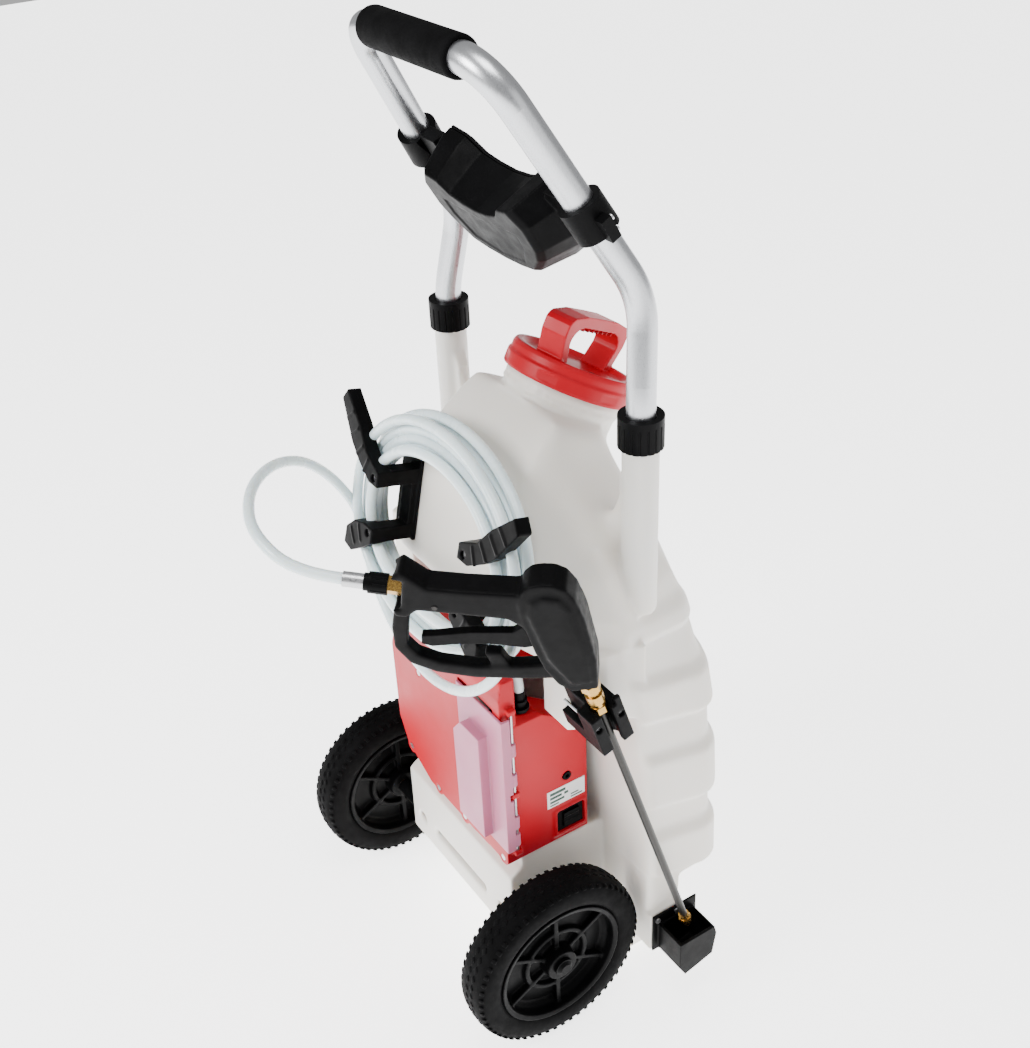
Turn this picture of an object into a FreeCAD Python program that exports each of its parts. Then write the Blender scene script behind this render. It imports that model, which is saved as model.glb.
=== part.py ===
import FreeCAD, Part
import math
import os

os.makedirs("parts", exist_ok=True)

# Two-wheeled battery sprayer cart.
# Millimetres, +Z up, +Y towards the operator, front face towards -Y.
# Origin: on the ground under the middle of the central front foot.

V = FreeCAD.Vector

# ---- driving dimensions -------------------------------------------------
WHEEL_R = 127.0            # ten-inch wheel
WHEEL_X = 205.0            # centre plane of each wheel
TYRE_WIDTH = 54.0
AXLE_Y = 230.0
AXLE_Z = WHEEL_R
AXLE_R = 6.0

WALL = 4.5                 # tank wall
SOCKET_X = 196.0           # handle sockets, symmetric
SOCKET_Y = 85.0
SOCKET_R = 20.5
SOCKET_TOP = 846.0
TUBE_R = 16.0
TUBE_WALL = 1.5

NECK_TILT = 29.0           # degrees, the filler neck leans forward
NECK_BASE = V(0, 57.7, 784.8)
NECK_R = 70.0
MOUTH_R = 62.0
CAP_R = 79.0

HOUSING_X = 136.0          # pump housing half width
HOUSING_Y0 = 118.5
HOUSING_Y1 = 245.0
HOUSING_Z0 = 232.0

HOSE_R = 6.5
COIL_TILT = 12.8           # degrees, the coil leans on the sloping back
COIL_C = V(-7, 234, 655)

RIB = 9.0                  # height of the moulded ribs


# ---- small helpers ------------------------------------------------------
def box(x0, x1, y0, y1, z0, z1):
    return Part.makeBox(x1 - x0, y1 - y0, z1 - z0, V(x0, y0, z0))


def cyl(base, direction, radius, height):
    return Part.makeCylinder(radius, height, base, direction)


def prism(points, direction):
    wire = Part.makePolygon(points + [points[0]])
    return Part.Face(wire).extrude(direction)


def mirror_x(shape):
    return shape.mirror(V(0, 0, 0), V(1, 0, 0))


def both(shape):
    return Part.makeCompound([shape, mirror_x(shape)])


def save(shape, node):
    shape.exportStep("parts/" + node + ".step")
    print(f"{node:18s} solids {len(shape.Solids)}  volume {shape.Volume / 1000:9.1f} cm3")


def frame(origin, x_axis, y_axis):
    """Placement with local X and (nearly) local Y along the given vectors."""
    z_axis = V(x_axis).cross(y_axis)
    rotation = FreeCAD.Rotation(V(x_axis), V(y_axis), z_axis, "XYZ")
    return FreeCAD.Placement(origin, rotation)


def moved(shape, placement):
    copy = shape.copy()
    copy.Placement = placement.multiply(copy.Placement)
    return copy


def softened(shape, radius, test):
    """Round the edges that pass a test; keep the plain shape if it cannot be done."""
    edges = [e for e in shape.Edges if test(e)]
    if not edges:
        return shape
    try:
        result = shape.makeFillet(radius, edges)
    except Exception:
        return shape
    if result.isValid() and abs(result.Volume - shape.Volume) < 0.3 * shape.Volume:
        return result
    return shape


def along(axis):
    def test(edge):
        if not isinstance(edge.Curve, Part.Line):
            return False
        return abs(abs(edge.tangentAt(edge.FirstParameter).dot(axis)) - 1) < 1e-3
    return test


def rounded_loop(corners, radii):
    """Closed wire of straight edges with a tangent arc at every corner."""
    n = len(corners)
    cuts = []
    for i in range(n):
        p, q, r = corners[i - 1], corners[i], corners[(i + 1) % n]
        a = (p - q).normalize()
        b = (r - q).normalize()
        half = a.getAngle(b) / 2
        reach = radii[i] / math.tan(half)
        centre = q + (a + b).normalize() * (radii[i] / math.sin(half))
        middle = centre + (q - centre).normalize() * radii[i]
        cuts.append((q + a * reach, middle, q + b * reach))
    edges = []
    for i in range(n):
        start, middle, end = cuts[i]
        edges.append(Part.Arc(start, middle, end).toShape())
        edges.append(Part.LineSegment(end, cuts[(i + 1) % n][0]).toShape())
    return Part.Wire(edges)


def bent_path(points, radii):
    """Open wire through points, with a tangent arc of the given radius at each inner point."""
    edges = []
    last = points[0]
    for i in range(1, len(points) - 1):
        p, q, r = points[i - 1], points[i], points[i + 1]
        a = (p - q).normalize()
        b = (r - q).normalize()
        half = a.getAngle(b) / 2
        reach = radii[i - 1] / math.tan(half)
        centre = q + (a + b).normalize() * (radii[i - 1] / math.sin(half))
        middle = centre + (q - centre).normalize() * radii[i - 1]
        edges.append(Part.LineSegment(last, q + a * reach).toShape())
        edges.append(Part.Arc(q + a * reach, middle, q + b * reach).toShape())
        last = q + b * reach
    edges.append(Part.LineSegment(last, points[-1]).toShape())
    return Part.Wire(edges)


def round_bar(wire, radius):
    start = wire.Edges[0]
    direction = start.tangentAt(start.FirstParameter)
    ring = Part.Wire(Part.makeCircle(radius, start.valueAt(start.FirstParameter), direction))
    return wire.makePipeShell([ring], True, True)


def cord_radii(points):
    radii = []
    for i in range(1, len(points) - 1):
        before = points[i] - points[i - 1]
        after = points[i + 1] - points[i]
        turn = before.getAngle(after)
        radii.append(0.45 * min(before.Length, after.Length) / math.tan(turn / 2))
    return radii


def report_cord(name, wire, radii, solid, radius):
    length = sum(e.Length for e in wire.Edges)
    ratio = solid.Volume / (math.pi * radius ** 2 * length)
    print(name, "radii", [round(r) for r in radii], "length", round(length), "ratio", round(ratio, 4))


def up_slope(tilt):
    t = math.radians(tilt)
    return V(0, -math.sin(t), math.cos(t))


def out_slope(tilt):
    t = math.radians(tilt)
    return V(0, math.cos(t), math.sin(t))


# ---- tank ---------------------------------------------------------------
# Each level: height, then half width and depth of the front corner, the
# side's rear corner and the back corner.
LEVELS = [
    (60, 218, -26, 208, 92, 150, 93),
    (110, 228, -27, 228, 92, 150, 93),
    (190, 232, -22, 232, 92, 150, 93),
    (320, 231, -18, 234, 98, 150, 104),
    (430, 221, -18, 234, 106, 150, 110),
    (505, 207, -12, 233, 112, 150, 113),
    (575, 180, -4, 230, 132, 150, 222),
    (620, 163, 3, 221, 132, 146, 213),
    (665, 143, 13, 196, 128, 138, 203),
    (710, 118, 26, 156, 124, 124, 193),
    (760, 92, 40, 112, 120, 104, 182),
    (850, 64, 60, 80, 112, 76, 160),
]


def level_loop(level, grow):
    z, fx, fy, sx, sy, bx, by = level
    fx, sx, bx = fx + grow, sx + grow, bx + grow
    fy, sy, by = fy - grow, sy + 0.3 * grow, by + grow
    if by <= sy:
        by = sy + 1.0
    corners = [V(fx, fy, z), V(sx, sy, z), V(bx, by, z)]
    corners += [V(-p.x, p.y, z) for p in reversed(corners)]
    r_front, r_side, r_back = 30.0, 22.0, 16.0
    radii = [r_front, r_side, r_back, r_back, r_side, r_front]
    if z < 560:
        radii = [r_front, 14.0, 12.0, 12.0, 14.0, r_front]
    return rounded_loop(corners, radii)


def body(grow, z_low=0.0, z_high=10000.0):
    wires = [level_loop(level, grow) for level in LEVELS if z_low <= level[0] <= z_high]
    return Part.makeLoft(wires, True, True)


def top_cutter(drop):
    """Everything above the slanted plane the neck stands on."""
    up = up_slope(NECK_TILT)
    side = V(1, 0, 0)
    place = frame(NECK_BASE - up * drop, side, out_slope(NECK_TILT))
    flat_top = moved(box(-300, 300, -300, 300, 0, 400), place)
    shift = 0.7 * drop
    back_slope = prism([V(-300, 120 - shift, 816 - shift), V(-300, 196 - shift, 744 - shift),
                        V(-300, 300, 744 - shift), V(-300, 300, 900), V(-300, 120 - shift, 900)],
                       V(600, 0, 0))
    return flat_top.fuse(back_slope)


def holder_boss(grow):
    """Pad behind the shoulder that carries the lance clip."""
    points = [V(-232 - grow, 100, 482 - grow), V(-222 - grow, 150, 482 - grow),
              V(-202 - grow, 192 + grow, 482 - grow), V(-152, 192 + grow, 482 - grow),
              V(-152, 100, 482 - grow)]
    return prism(points, V(0, 0, 104 + 2 * grow))


def rib_band(z_apex_top, z_apex_low, rise_front, rise_side):
    """V-shaped slab: lowest at the vertical corner, rising to the front and to the side."""
    front = prism([V(262, -60, z_apex_top - 6), V(262, -60, z_apex_low - 6),
                   V(140, -60, z_apex_low + rise_front), V(140, -60, z_apex_top + rise_front)],
                  V(0, 75, 0))
    side = prism([V(170, -50, z_apex_top - 8), V(170, -50, z_apex_low - 8),
                  V(170, 96, z_apex_low + rise_side), V(170, 96, z_apex_top + rise_side)],
                 V(100, 0, 0))
    return front.fuse(side)


def rib_side(grown, *sizes):
    return grown.common(rib_band(*sizes))


def nested_vee(z_shoulder, z_tip, half, depth):
    """Part of the front that stands forward above a V-shaped lower edge."""
    points = [V(-half, -70, z_shoulder), V(0, -70, z_tip), V(half, -70, z_shoulder),
              V(half * 0.93, -70, 600), V(half * 0.55, -70, 655), V(0, -70, 672),
              V(-half * 0.55, -70, 655), V(-half * 0.93, -70, 600)]
    return prism(points, V(0, 110, 0)).common(body(depth))


def back_block(grow):
    points = [V(-133 - grow, 60, 84 - grow), V(-133 - grow, 228, 70 - grow),
              V(-133 - grow, 243 + grow, 92), V(-133 - grow, 241 + grow, 203),
              V(-133 - grow, 222.5 + grow, 216), V(-133 - grow, 222.5 + grow, 231.6 + grow),
              V(-133 - grow, 60, 231.6 + grow)]
    return prism(points, V(266 + 2 * grow, 0, 0))


def make_tank():
    shell = body(0)
    grown = body(RIB)
    for sizes in [(508, 440, 72, 26), (392, 306, 36, 22), (266, 184, 22, 18), (585, 560, 40, 20)]:
        rib = rib_side(grown, *sizes)
        shell = shell.fuse(rib).fuse(mirror_x(rib))
    shell = shell.fuse(nested_vee(172, 96, 92, 4))
    shell = shell.fuse(nested_vee(247, 172, 84, 7))
    shell = shell.fuse(nested_vee(322, 243, 77, RIB))
    # the front corners rise clear of the ground, down to the central foot
    for side in (-1, 1):
        shell = shell.cut(prism([V(side * 92, -80, 20), V(side * 92, -80, 62), V(side * 215, -80, 168),
                                 V(side * 280, -80, 196), V(side * 280, -80, 20)], V(0, 118, 0)))
    shell = shell.fuse(back_block(0))
    shell = shell.fuse(holder_boss(0)).fuse(mirror_x(holder_boss(0)))
    shell = shell.fuse(box(-236, -200, 42, 90, 62, 130))
    shell = shell.fuse(box(-188, 188, 38, 92, 56, 200))
    shell = shell.cut(top_cutter(0))

    up = up_slope(NECK_TILT)
    neck = cyl(NECK_BASE - up * 40, up, NECK_R, 40 + 45)
    thread = cyl(NECK_BASE + up * 31, up, NECK_R + 2.2, 2.6)
    thread = thread.fuse(cyl(NECK_BASE + up * 38, up, NECK_R + 2.2, 2.6))
    neck = neck.fuse(thread)
    shell = shell.fuse(neck)

    hollow = body(-WALL, 100).cut(top_cutter(WALL))
    hollow = hollow.fuse(back_block(-WALL).cut(box(-200, 200, 215, 260, 60, 160)))
    hollow = hollow.fuse(cyl(NECK_BASE - up * 60, up, MOUTH_R, 140))
    hollow = hollow.cut(cyl(V(-140, AXLE_Y, AXLE_Z), V(1, 0, 0), 16, 280))
    for side in (-1, 1):
        hollow = hollow.cut(cyl(V(side * SOCKET_X, SOCKET_Y, 600), V(0, 0, 1), SOCKET_R, 260))
        hollow = hollow.cut(prism([V(side * 92, -80, 20), V(side * 92, -80, 76), V(side * 210, -80, 178),
                                   V(side * 280, -80, 206), V(side * 280, -80, 20)], V(0, 122, 0)))
    shell = shell.cut(hollow)
    ledge = cyl(NECK_BASE + up * 35, up, MOUTH_R + 2, 5).cut(cyl(NECK_BASE + up * 30, up, 59.2, 20))
    shell = shell.fuse(ledge)

    # feet
    centre = prism([V(-68, -24, 0), V(68, -24, 0), V(88, -30, 64), V(-88, -30, 64)], V(0, 44, 0))
    shell = shell.fuse(centre)
    for side in (-1, 1):
        foot = prism([V(side * 126, 42, 0), V(side * 176, 42, 0), V(side * 186, 40, 62),
                      V(side * 118, 40, 62)], V(0, 44, 0))
        shell = shell.fuse(foot)

    # handle sockets with a web to the shoulder
    for side in (-1, 1):
        boss = cyl(V(side * SOCKET_X, SOCKET_Y, 622), V(0, 0, 1), SOCKET_R, SOCKET_TOP - 622)
        boss = boss.fuse(Part.makeSphere(SOCKET_R, V(side * SOCKET_X, SOCKET_Y, 624)))
        web = prism([V(side * 120, 79, 640), V(side * SOCKET_X, 79, 640), V(side * SOCKET_X, 79, 806),
                     V(side * 180, 79, 806), V(side * 150, 79, 735)], V(0, 12, 0))
        web = web.cut(hollow)
        shell = shell.fuse(boss).fuse(web)
        shell = shell.cut(cyl(V(side * SOCKET_X, SOCKET_Y, 641), V(0, 0, 1), TUBE_R + 0.6, 300))

    # axle bore, open to the back through long slots
    shell = shell.cut(cyl(V(-140, AXLE_Y, AXLE_Z), V(1, 0, 0), AXLE_R + 0.5, 280))
    for x0, x1 in [(-112, -96), (-66, 66), (96, 112)]:
        shell = shell.cut(box(x0, x1, AXLE_Y, 260, AXLE_Z - 6.5, AXLE_Z + 6.5))

    # suction hole towards the pump housing, screw holes for the clip and the cup
    shell = shell.cut(cyl(V(-60, 90, 262), V(0, 1, 0), 8.0, 40))
    for place in clip_screw_places():
        shell = shell.cut(cyl(place, V(1, 0, 0), 2.2, 66))
    for y, z in CUP_SCREWS:
        shell = shell.cut(cyl(V(-240, y, z), V(1, 0, 0), 2.1, 20))
    return shell.removeSplitter()


# ---- wheels and axle ----------------------------------------------------
def tyre(side):
    half = TYRE_WIDTH / 2
    inner, crown = 90.0, WHEEL_R
    profile = [V(-half + 5, 0, inner), V(-half, 0, inner + 10), V(-half, 0, crown - 14),
               V(-half + 3, 0, crown - 6), V(-half + 9, 0, crown - 1.2), V(-6, 0, crown),
               V(6, 0, crown), V(half - 9, 0, crown - 1.2), V(half - 3, 0, crown - 6),
               V(half, 0, crown - 14), V(half, 0, inner + 10), V(half - 5, 0, inner)]
    ring = Part.Face(Part.makePolygon(profile + [profile[0]])).revolve(V(0, 0, 0), V(1, 0, 0), 360)
    groove = Part.makeCylinder(1.4, TYRE_WIDTH * 0.8, V(-0.4 * TYRE_WIDTH, 0, WHEEL_R + 0.3), V(1, 0, 0))
    groove.rotate(V(0, 0, WHEEL_R), V(0, 0, 1), 38)
    cross = Part.makeCylinder(1.4, TYRE_WIDTH * 0.8, V(-0.4 * TYRE_WIDTH, 0, WHEEL_R + 0.3), V(1, 0, 0))
    cross.rotate(V(0, 0, WHEEL_R), V(0, 0, 1), -38)
    cuts = []
    for i in range(24):
        for g in (groove, cross):
            copy = g.copy()
            copy.rotate(V(0, 0, 0), V(1, 0, 0), i * 15.0)
            cuts.append(copy)
    ring = ring.cut(Part.makeCompound(cuts))
    ring.translate(V(side * WHEEL_X, AXLE_Y, AXLE_Z))
    return ring


def rim(side):
    x = V(1, 0, 0)
    outer = cyl(V(-24, 0, 0), x, 89.8, 48).cut(cyl(V(-30, 0, 0), x, 82, 60))
    web = cyl(V(-6, 0, 0), x, 82.5, 10)
    hub = cyl(V(-27, 0, 0), x, 22, 54)
    ring_a = cyl(V(4, 0, 0), x, 42, 10).cut(cyl(V(3, 0, 0), x, 36, 12))
    solid = outer.fuse(web).fuse(hub).fuse(ring_a)
    for i in range(6):
        spoke = box(-16, 18, -3, 3, 20, 83)
        spoke.rotate(V(0, 0, 0), x, i * 60)
        solid = solid.fuse(spoke)
    solid = solid.cut(cyl(V(-30, 0, 0), x, 9.05, 60))
    if side < 0:
        solid = mirror_x(solid)
    solid.translate(V(side * WHEEL_X, AXLE_Y, AXLE_Z))
    return solid.removeSplitter()


def bush(side):
    x = V(1, 0, 0)
    solid = cyl(V(-27, 0, 0), x, 9.0, 54).cut(cyl(V(-30, 0, 0), x, AXLE_R + 0.06, 60))
    solid.translate(V(side * WHEEL_X, AXLE_Y, AXLE_Z))
    return solid


def axle_cap(side):
    x = V(side, 0, 0)
    base = V(side * (WHEEL_X + 27.6), AXLE_Y, AXLE_Z)
    solid = cyl(base, x, 13, 4).fuse(Part.makeCone(11, 7, 3.4, base + x * 4, x))
    return solid.cut(cyl(base - x, x, AXLE_R, 4.4))


def washers():
    out = []
    for side in (-1, 1):
        x = V(side, 0, 0)
        spacer = cyl(V(side * 133.4, AXLE_Y, AXLE_Z), x, 11, 43.6)
        out.append(spacer.cut(cyl(V(side * 130, AXLE_Y, AXLE_Z), x, AXLE_R + 0.05, 60)))
    return Part.makeCompound(out)


# ---- pump housing and what is in it -------------------------------------
def housing_outline(y, inset):
    k = inset
    left, right = -HOUSING_X + k, HOUSING_X - k
    return [V(left, y, HOUSING_Z0 + 4 + k), V(-60, y, HOUSING_Z0 + k), V(60, y, HOUSING_Z0 + k),
            V(118 - k, y, 262 + k), V(right, y, 300), V(right, y, 428 - k), V(118 - k, y, 476 - k),
            V(84, y, 508 - k), V(-60, y, 508 - k), V(-96 + k, y, 484 - k), V(left, y, 458 - k)]


def housing_solid(inset):
    y0, y1 = HOUSING_Y0 + (inset if inset else 0), HOUSING_Y1 - inset
    solid = prism(housing_outline(y0, inset), V(0, y1 - y0, 0))
    top = prism([V(-200, y0 - 1, 412 - inset), V(-200, 190, 462 - inset), V(-200, y1 + 1, 470),
                 V(-200, y1 + 1, 540), V(-200, y0 - 1, 540)], V(110, 0, 0))
    return solid.cut(top)


DOOR_X0 = -HOUSING_X
DOOR_X1 = -40.0
DOOR_Z0 = 262.0
DOOR_Z1 = 484.0
BULGE_Z1 = 452.0             # top of the battery bulge, below the coil


def make_housing():
    solid = housing_solid(0)
    solid = softened(solid, 8.0, along(V(0, 0, 1)))
    solid = solid.cut(housing_solid(3.0).fuse(box(-90, 90, HOUSING_Y0 - 2, HOUSING_Y0 + 6, 250, 400)))
    # upright back wall that rises towards the door corner, close under the hose
    left = -HOUSING_X
    wall = prism([V(left, 222, 460), V(left, 245, 460), V(left, 245, 505), V(left, 241, 532),
                  V(left, 222, 532)], V(220, 0, 0))
    room = prism([V(left + 3, 225, 455), V(left + 3, 242, 455), V(left + 3, 242, 504),
                  V(left + 3, 238.4, 529), V(left + 3, 225, 529)], V(214, 0, 0))
    rise = prism([V(-100, 210, 532), V(86, 210, 508), V(86, 210, 560), V(-100, 210, 560)], V(0, 40, 0))
    low_rise = prism([V(-100, 210, 529), V(86, 210, 505), V(86, 210, 560), V(-100, 210, 560)], V(0, 40, 0))
    solid = solid.fuse(wall.cut(rise)).cut(room.cut(low_rise))
    # door opening at the back corner
    solid = solid.cut(box(DOOR_X0 + 16, DOOR_X1, HOUSING_Y1 - 14, HOUSING_Y1 + 2, DOOR_Z0, DOOR_Z1))
    # scalloped screw lugs along the lower edge
    for x, z in [(-128, 240), (-30, 236), (40, 236), (112, 262)]:
        lug = cyl(V(x * 0.97, HOUSING_Y1 - 20, z), V(0, 1, 0), 11, 20)
        solid = solid.fuse(lug)
    for x, z in [(-124, 240), (-29, 236), (39, 236), (109, 262), (66, 420)]:
        solid = solid.cut(cyl(V(x, HOUSING_Y1 - 3, z), V(0, 1, 0), 5.2, 10))
        solid = solid.cut(cyl(V(x, HOUSING_Y1 - 24, z), V(0, 1, 0), 2.6, 30))
    # switch recess and charge socket on the side
    solid = solid.fuse(box(-HOUSING_X - 3, -HOUSING_X + 10, 122, 172, 244, 290))
    solid = solid.cut(box(-HOUSING_X - 10, -HOUSING_X + 4, 126, 168, 248, 286))
    solid = solid.cut(box(-HOUSING_X - 2, -HOUSING_X + 12, 133, 159, 254, 280))
    solid = solid.cut(cyl(V(-HOUSING_X - 2, 151, 340), V(1, 0, 0), 6.1, 12))
    # suction hole at the back against the tank, outlet hole on the shoulder
    solid = solid.cut(cyl(V(-118, 205, 440), V(0, 0, 1), 8.1, 60))
    # hinge ears for the door pin
    for z in (DOOR_Z0 - 9, 352, DOOR_Z1 + 1):
        ear = box(-HOUSING_X - 9, -HOUSING_X + 1, 226, 238, z, z + 8)
        ear = ear.cut(cyl(V(-HOUSING_X - 4.5, 232, z - 1), V(0, 0, 1), 2.0, 10))
        solid = solid.fuse(ear)
    return solid.removeSplitter()


def make_door():
    """Corner door: a back panel with a raised battery bulge and a return along the side."""
    y1 = HOUSING_Y1 + 4
    back = box(-HOUSING_X - 9, DOOR_X1 - 2, HOUSING_Y1 + 0.5, y1, DOOR_Z0 + 3, DOOR_Z1 - 3)
    bulge = prism([V(-112, y1 - 1, DOOR_Z0 + 14), V(-52, y1 - 1, DOOR_Z0 + 14),
                   V(-52, y1 - 1, BULGE_Z1 - 34), V(-70, y1 - 1, BULGE_Z1 - 12),
                   V(-112, y1 - 1, BULGE_Z1 - 12)], V(0, 15, 0))
    inner = prism([V(-110, y1 - 6, DOOR_Z0 + 16), V(-54, y1 - 6, DOOR_Z0 + 16),
                   V(-54, y1 - 6, BULGE_Z1 - 35), V(-71, y1 - 6, BULGE_Z1 - 14),
                   V(-110, y1 - 6, BULGE_Z1 - 14)], V(0, 18, 0))
    wrap = box(-HOUSING_X - 9, -HOUSING_X - 6, 236, y1, DOOR_Z0 + 3, DOOR_Z1 - 3)
    solid = back.fuse(bulge).cut(inner).fuse(wrap)
    solid = solid.cut(box(-150, -130, 225, 241, 350.5, 361.5))
    for z in (DOOR_Z0 + 8, 300, 372, 420):
        knuckle = cyl(V(-HOUSING_X - 4.5, 232, z), V(0, 0, 1), 4.2, 20)
        knuckle = knuckle.fuse(box(-HOUSING_X - 8.7, -HOUSING_X - 6, 232, 240, z, z + 20))
        solid = solid.fuse(knuckle)
    solid = solid.cut(cyl(V(-HOUSING_X - 4.5, 232, 200), V(0, 0, 1), 2.05, 400))
    return solid.removeSplitter()


def tank_screws():
    out = []
    for x, z in [(-124, 240), (-29, 236), (39, 236), (109, 262), (66, 420)]:
        out.append(cyl(V(x, HOUSING_Y1 - 2.8, z), V(0, 1, 0), 4.4, 2.4)
                   .fuse(cyl(V(x, HOUSING_Y1 - 22, z), V(0, 1, 0), 2.4, 20)))
    return Part.makeCompound(out)


# ---- telescopic handle and tool tray ------------------------------------
def handle_points():
    half = [V(-SOCKET_X, SOCKET_Y, 642), V(-SOCKET_X, SOCKET_Y, 874), V(-178, 70, 983),
            V(-129, 211, 1224)]
    return half + [V(-p.x, p.y, p.z) for p in reversed(half)]


HANDLE_BENDS = [180, 100, 54, 54, 100, 180]


def make_handle():
    wire = bent_path(handle_points(), HANDLE_BENDS)
    return round_bar(wire, TUBE_R).cut(round_bar(wire, TUBE_R - TUBE_WALL))


def lean_axis():
    return (V(-129, 211, 1224) - V(-178, 70, 983)).normalize()


def at_height(z):
    a, b = V(-178, 70, 983), V(-129, 211, 1224)
    return a + (b - a) * ((z - a.z) / (b.z - a.z))


# local frame of the tray: X across, Y up along the leaning handle, Z towards the front
TRAY_UP = V(0, 141, 241).normalize()
TRAY = frame(V(0, at_height(1069).y, 1069), V(1, 0, 0), TRAY_UP)


KNOB_Y = -33.0


def tray_outline(k):
    right = [V(100 - k, 29 - k, 0), V(120 - k, 6, 0), V(119 - k, -32 + k, 0), V(74, -84 + k, 0),
             V(0, -92 + k, 0)]
    left = [V(-p.x, p.y, 0) for p in reversed(right[:-1])]
    dip = [V(-72, 24 - k, 0), V(-54, 6 - k, 0), V(0, -4 - k, 0), V(54, 6 - k, 0), V(72, 24 - k, 0)]
    return right + left + dip


def make_tray_box():
    """Shallow bin, open to the front, between the two tube clamps."""
    outer = prism([p + V(0, 0, -46) for p in tray_outline(0)], V(0, 0, 62))
    inner = prism([p + V(0, 0, -43) for p in tray_outline(3)], V(0, 0, 80))
    solid = outer.cut(inner)
    for side in (-1, 1):
        arm = box(108, 138, -2, 26, -8, 10)
        solid = solid.fuse(arm if side > 0 else mirror_x(arm))
    solid = solid.fuse(cyl(V(0, KNOB_Y, -43.5), V(0, 0, 1), 6, 56).cut(cyl(V(0, KNOB_Y, -38), V(0, 0, 1), 3, 60)))
    solid = solid.cut(box(-29, 29, -100, -88, 10, 24))
    for side in (-1, 1):
        ear = box(28.4, 33, -97.5, -86, 6, 15.9)
        ear = ear.fuse(box(28.4, 33, -97.5, -92.2, 15, 22))
        solid = solid.fuse(ear if side > 0 else mirror_x(ear))
    solid = solid.cut(cyl(V(-40, -93.5, 18.4), V(1, 0, 0), 1.45, 80))
    return moved(solid, TRAY)


def make_tray_cover():
    lid = prism([p + V(0, 0, 16.4) for p in tray_outline(0.5)], V(0, 0, 4))
    rim = prism([p + V(0, 0, 13.4) for p in tray_outline(4)], V(0, 0, 3.5))
    rim = rim.cut(prism([p + V(0, 0, 10) for p in tray_outline(8)], V(0, 0, 12)))
    panel = prism([p * 0.86 + V(0, -4, 20) for p in tray_outline(0)], V(0, 0, 1.6))
    solid = lid.fuse(rim).fuse(panel)
    solid = solid.cut(box(-18, 18, -72, -68, 10, 30))
    for x in (-8, 0, 8):
        solid = solid.cut(box(x - 2, x + 2, -17, -11, 19, 30))
    solid = solid.cut(cyl(V(0, KNOB_Y, 0), V(0, 0, 1), 11.2, 40))
    # hinge barrel on the lower edge
    solid = solid.fuse(cyl(V(-28, -93.5, 18.4), V(1, 0, 0), 3, 56))
    solid = solid.cut(cyl(V(-40, -93.5, 18.4), V(1, 0, 0), 1.45, 80))
    return moved(solid.removeSplitter(), TRAY)


def make_tray_knob():
    solid = cyl(V(0, KNOB_Y, 14), V(0, 0, 1), 10.9, 11).fuse(cyl(V(0, KNOB_Y, 22), V(0, 0, 1), 14, 3))
    solid = solid.cut(box(-2, 2, KNOB_Y - 12, KNOB_Y + 12, 23, 26))
    return moved(solid, TRAY)


def make_tray_clamps():
    axis = lean_axis()
    centre = at_height(1074)
    ring = cyl(centre - axis * 19, axis, 23.5, 38)
    solid = ring
    lug = moved(box(-168, -134, -14, 22, -9, 9), TRAY)
    solid = solid.fuse(lug)
    ear = moved(box(-194, -172, -12, 14, -6, 6), TRAY)
    solid = solid.fuse(ear)
    solid = solid.cut(cyl(centre - axis * 60, axis, TUBE_R + 0.05, 120))
    solid = solid.cut(moved(box(-138.3, -100, -60, 60, -60, 60), TRAY))
    out = [solid, mirror_x(solid)]
    return Part.makeCompound(out)


def clamp_screws():
    out = []
    for y in (0, 14):
        screw = moved(cyl(V(-188, y - 6, 6.05), V(0, 0, 1), 3.4, 3), TRAY)
        out += [screw, mirror_x(screw)]
    return Part.makeCompound(out)


def collar(side):
    z0, z1 = 824.0, 861.0
    base = V(side * SOCKET_X, SOCKET_Y, z0)
    up = V(0, 0, 1)
    solid = cyl(base, up, 25.3, z1 - z0)
    for i in range(18):
        a = 2 * math.pi * i / 18
        solid = solid.cut(cyl(base + V(25.9 * math.cos(a), 25.9 * math.sin(a), -1), up, 1.5, 30))
    solid = solid.cut(cyl(base - up, up, SOCKET_R + 0.5, 23.5))
    solid = solid.cut(Part.makeCone(SOCKET_R + 0.5, TUBE_R + 2.2, 10.5, base + up * 22.5, up))
    return solid.cut(cyl(base, up, TUBE_R + 1.0, 60)).removeSplitter()


def collet(side):
    """Split tapered ring that the collar presses onto the tube."""
    up = V(0, 0, 1)
    base = V(side * SOCKET_X, SOCKET_Y, SOCKET_TOP + 0.4)
    solid = Part.makeCone(SOCKET_R - 0.4, TUBE_R + 2.0, 9.6, base, up)
    solid = solid.cut(cyl(base - up, up, TUBE_R + 0.3, 20))
    return solid.cut(box(side * SOCKET_X - 1.2, side * SOCKET_X + 1.2, SOCKET_Y, SOCKET_Y + 30, 840, 870))


# ---- cap ----------------------------------------------------------------
CAP = frame(NECK_BASE, V(1, 0, 0), out_slope(NECK_TILT))


CAP_TURN = -68.0            # the bail's direction when the cap is tight


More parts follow.
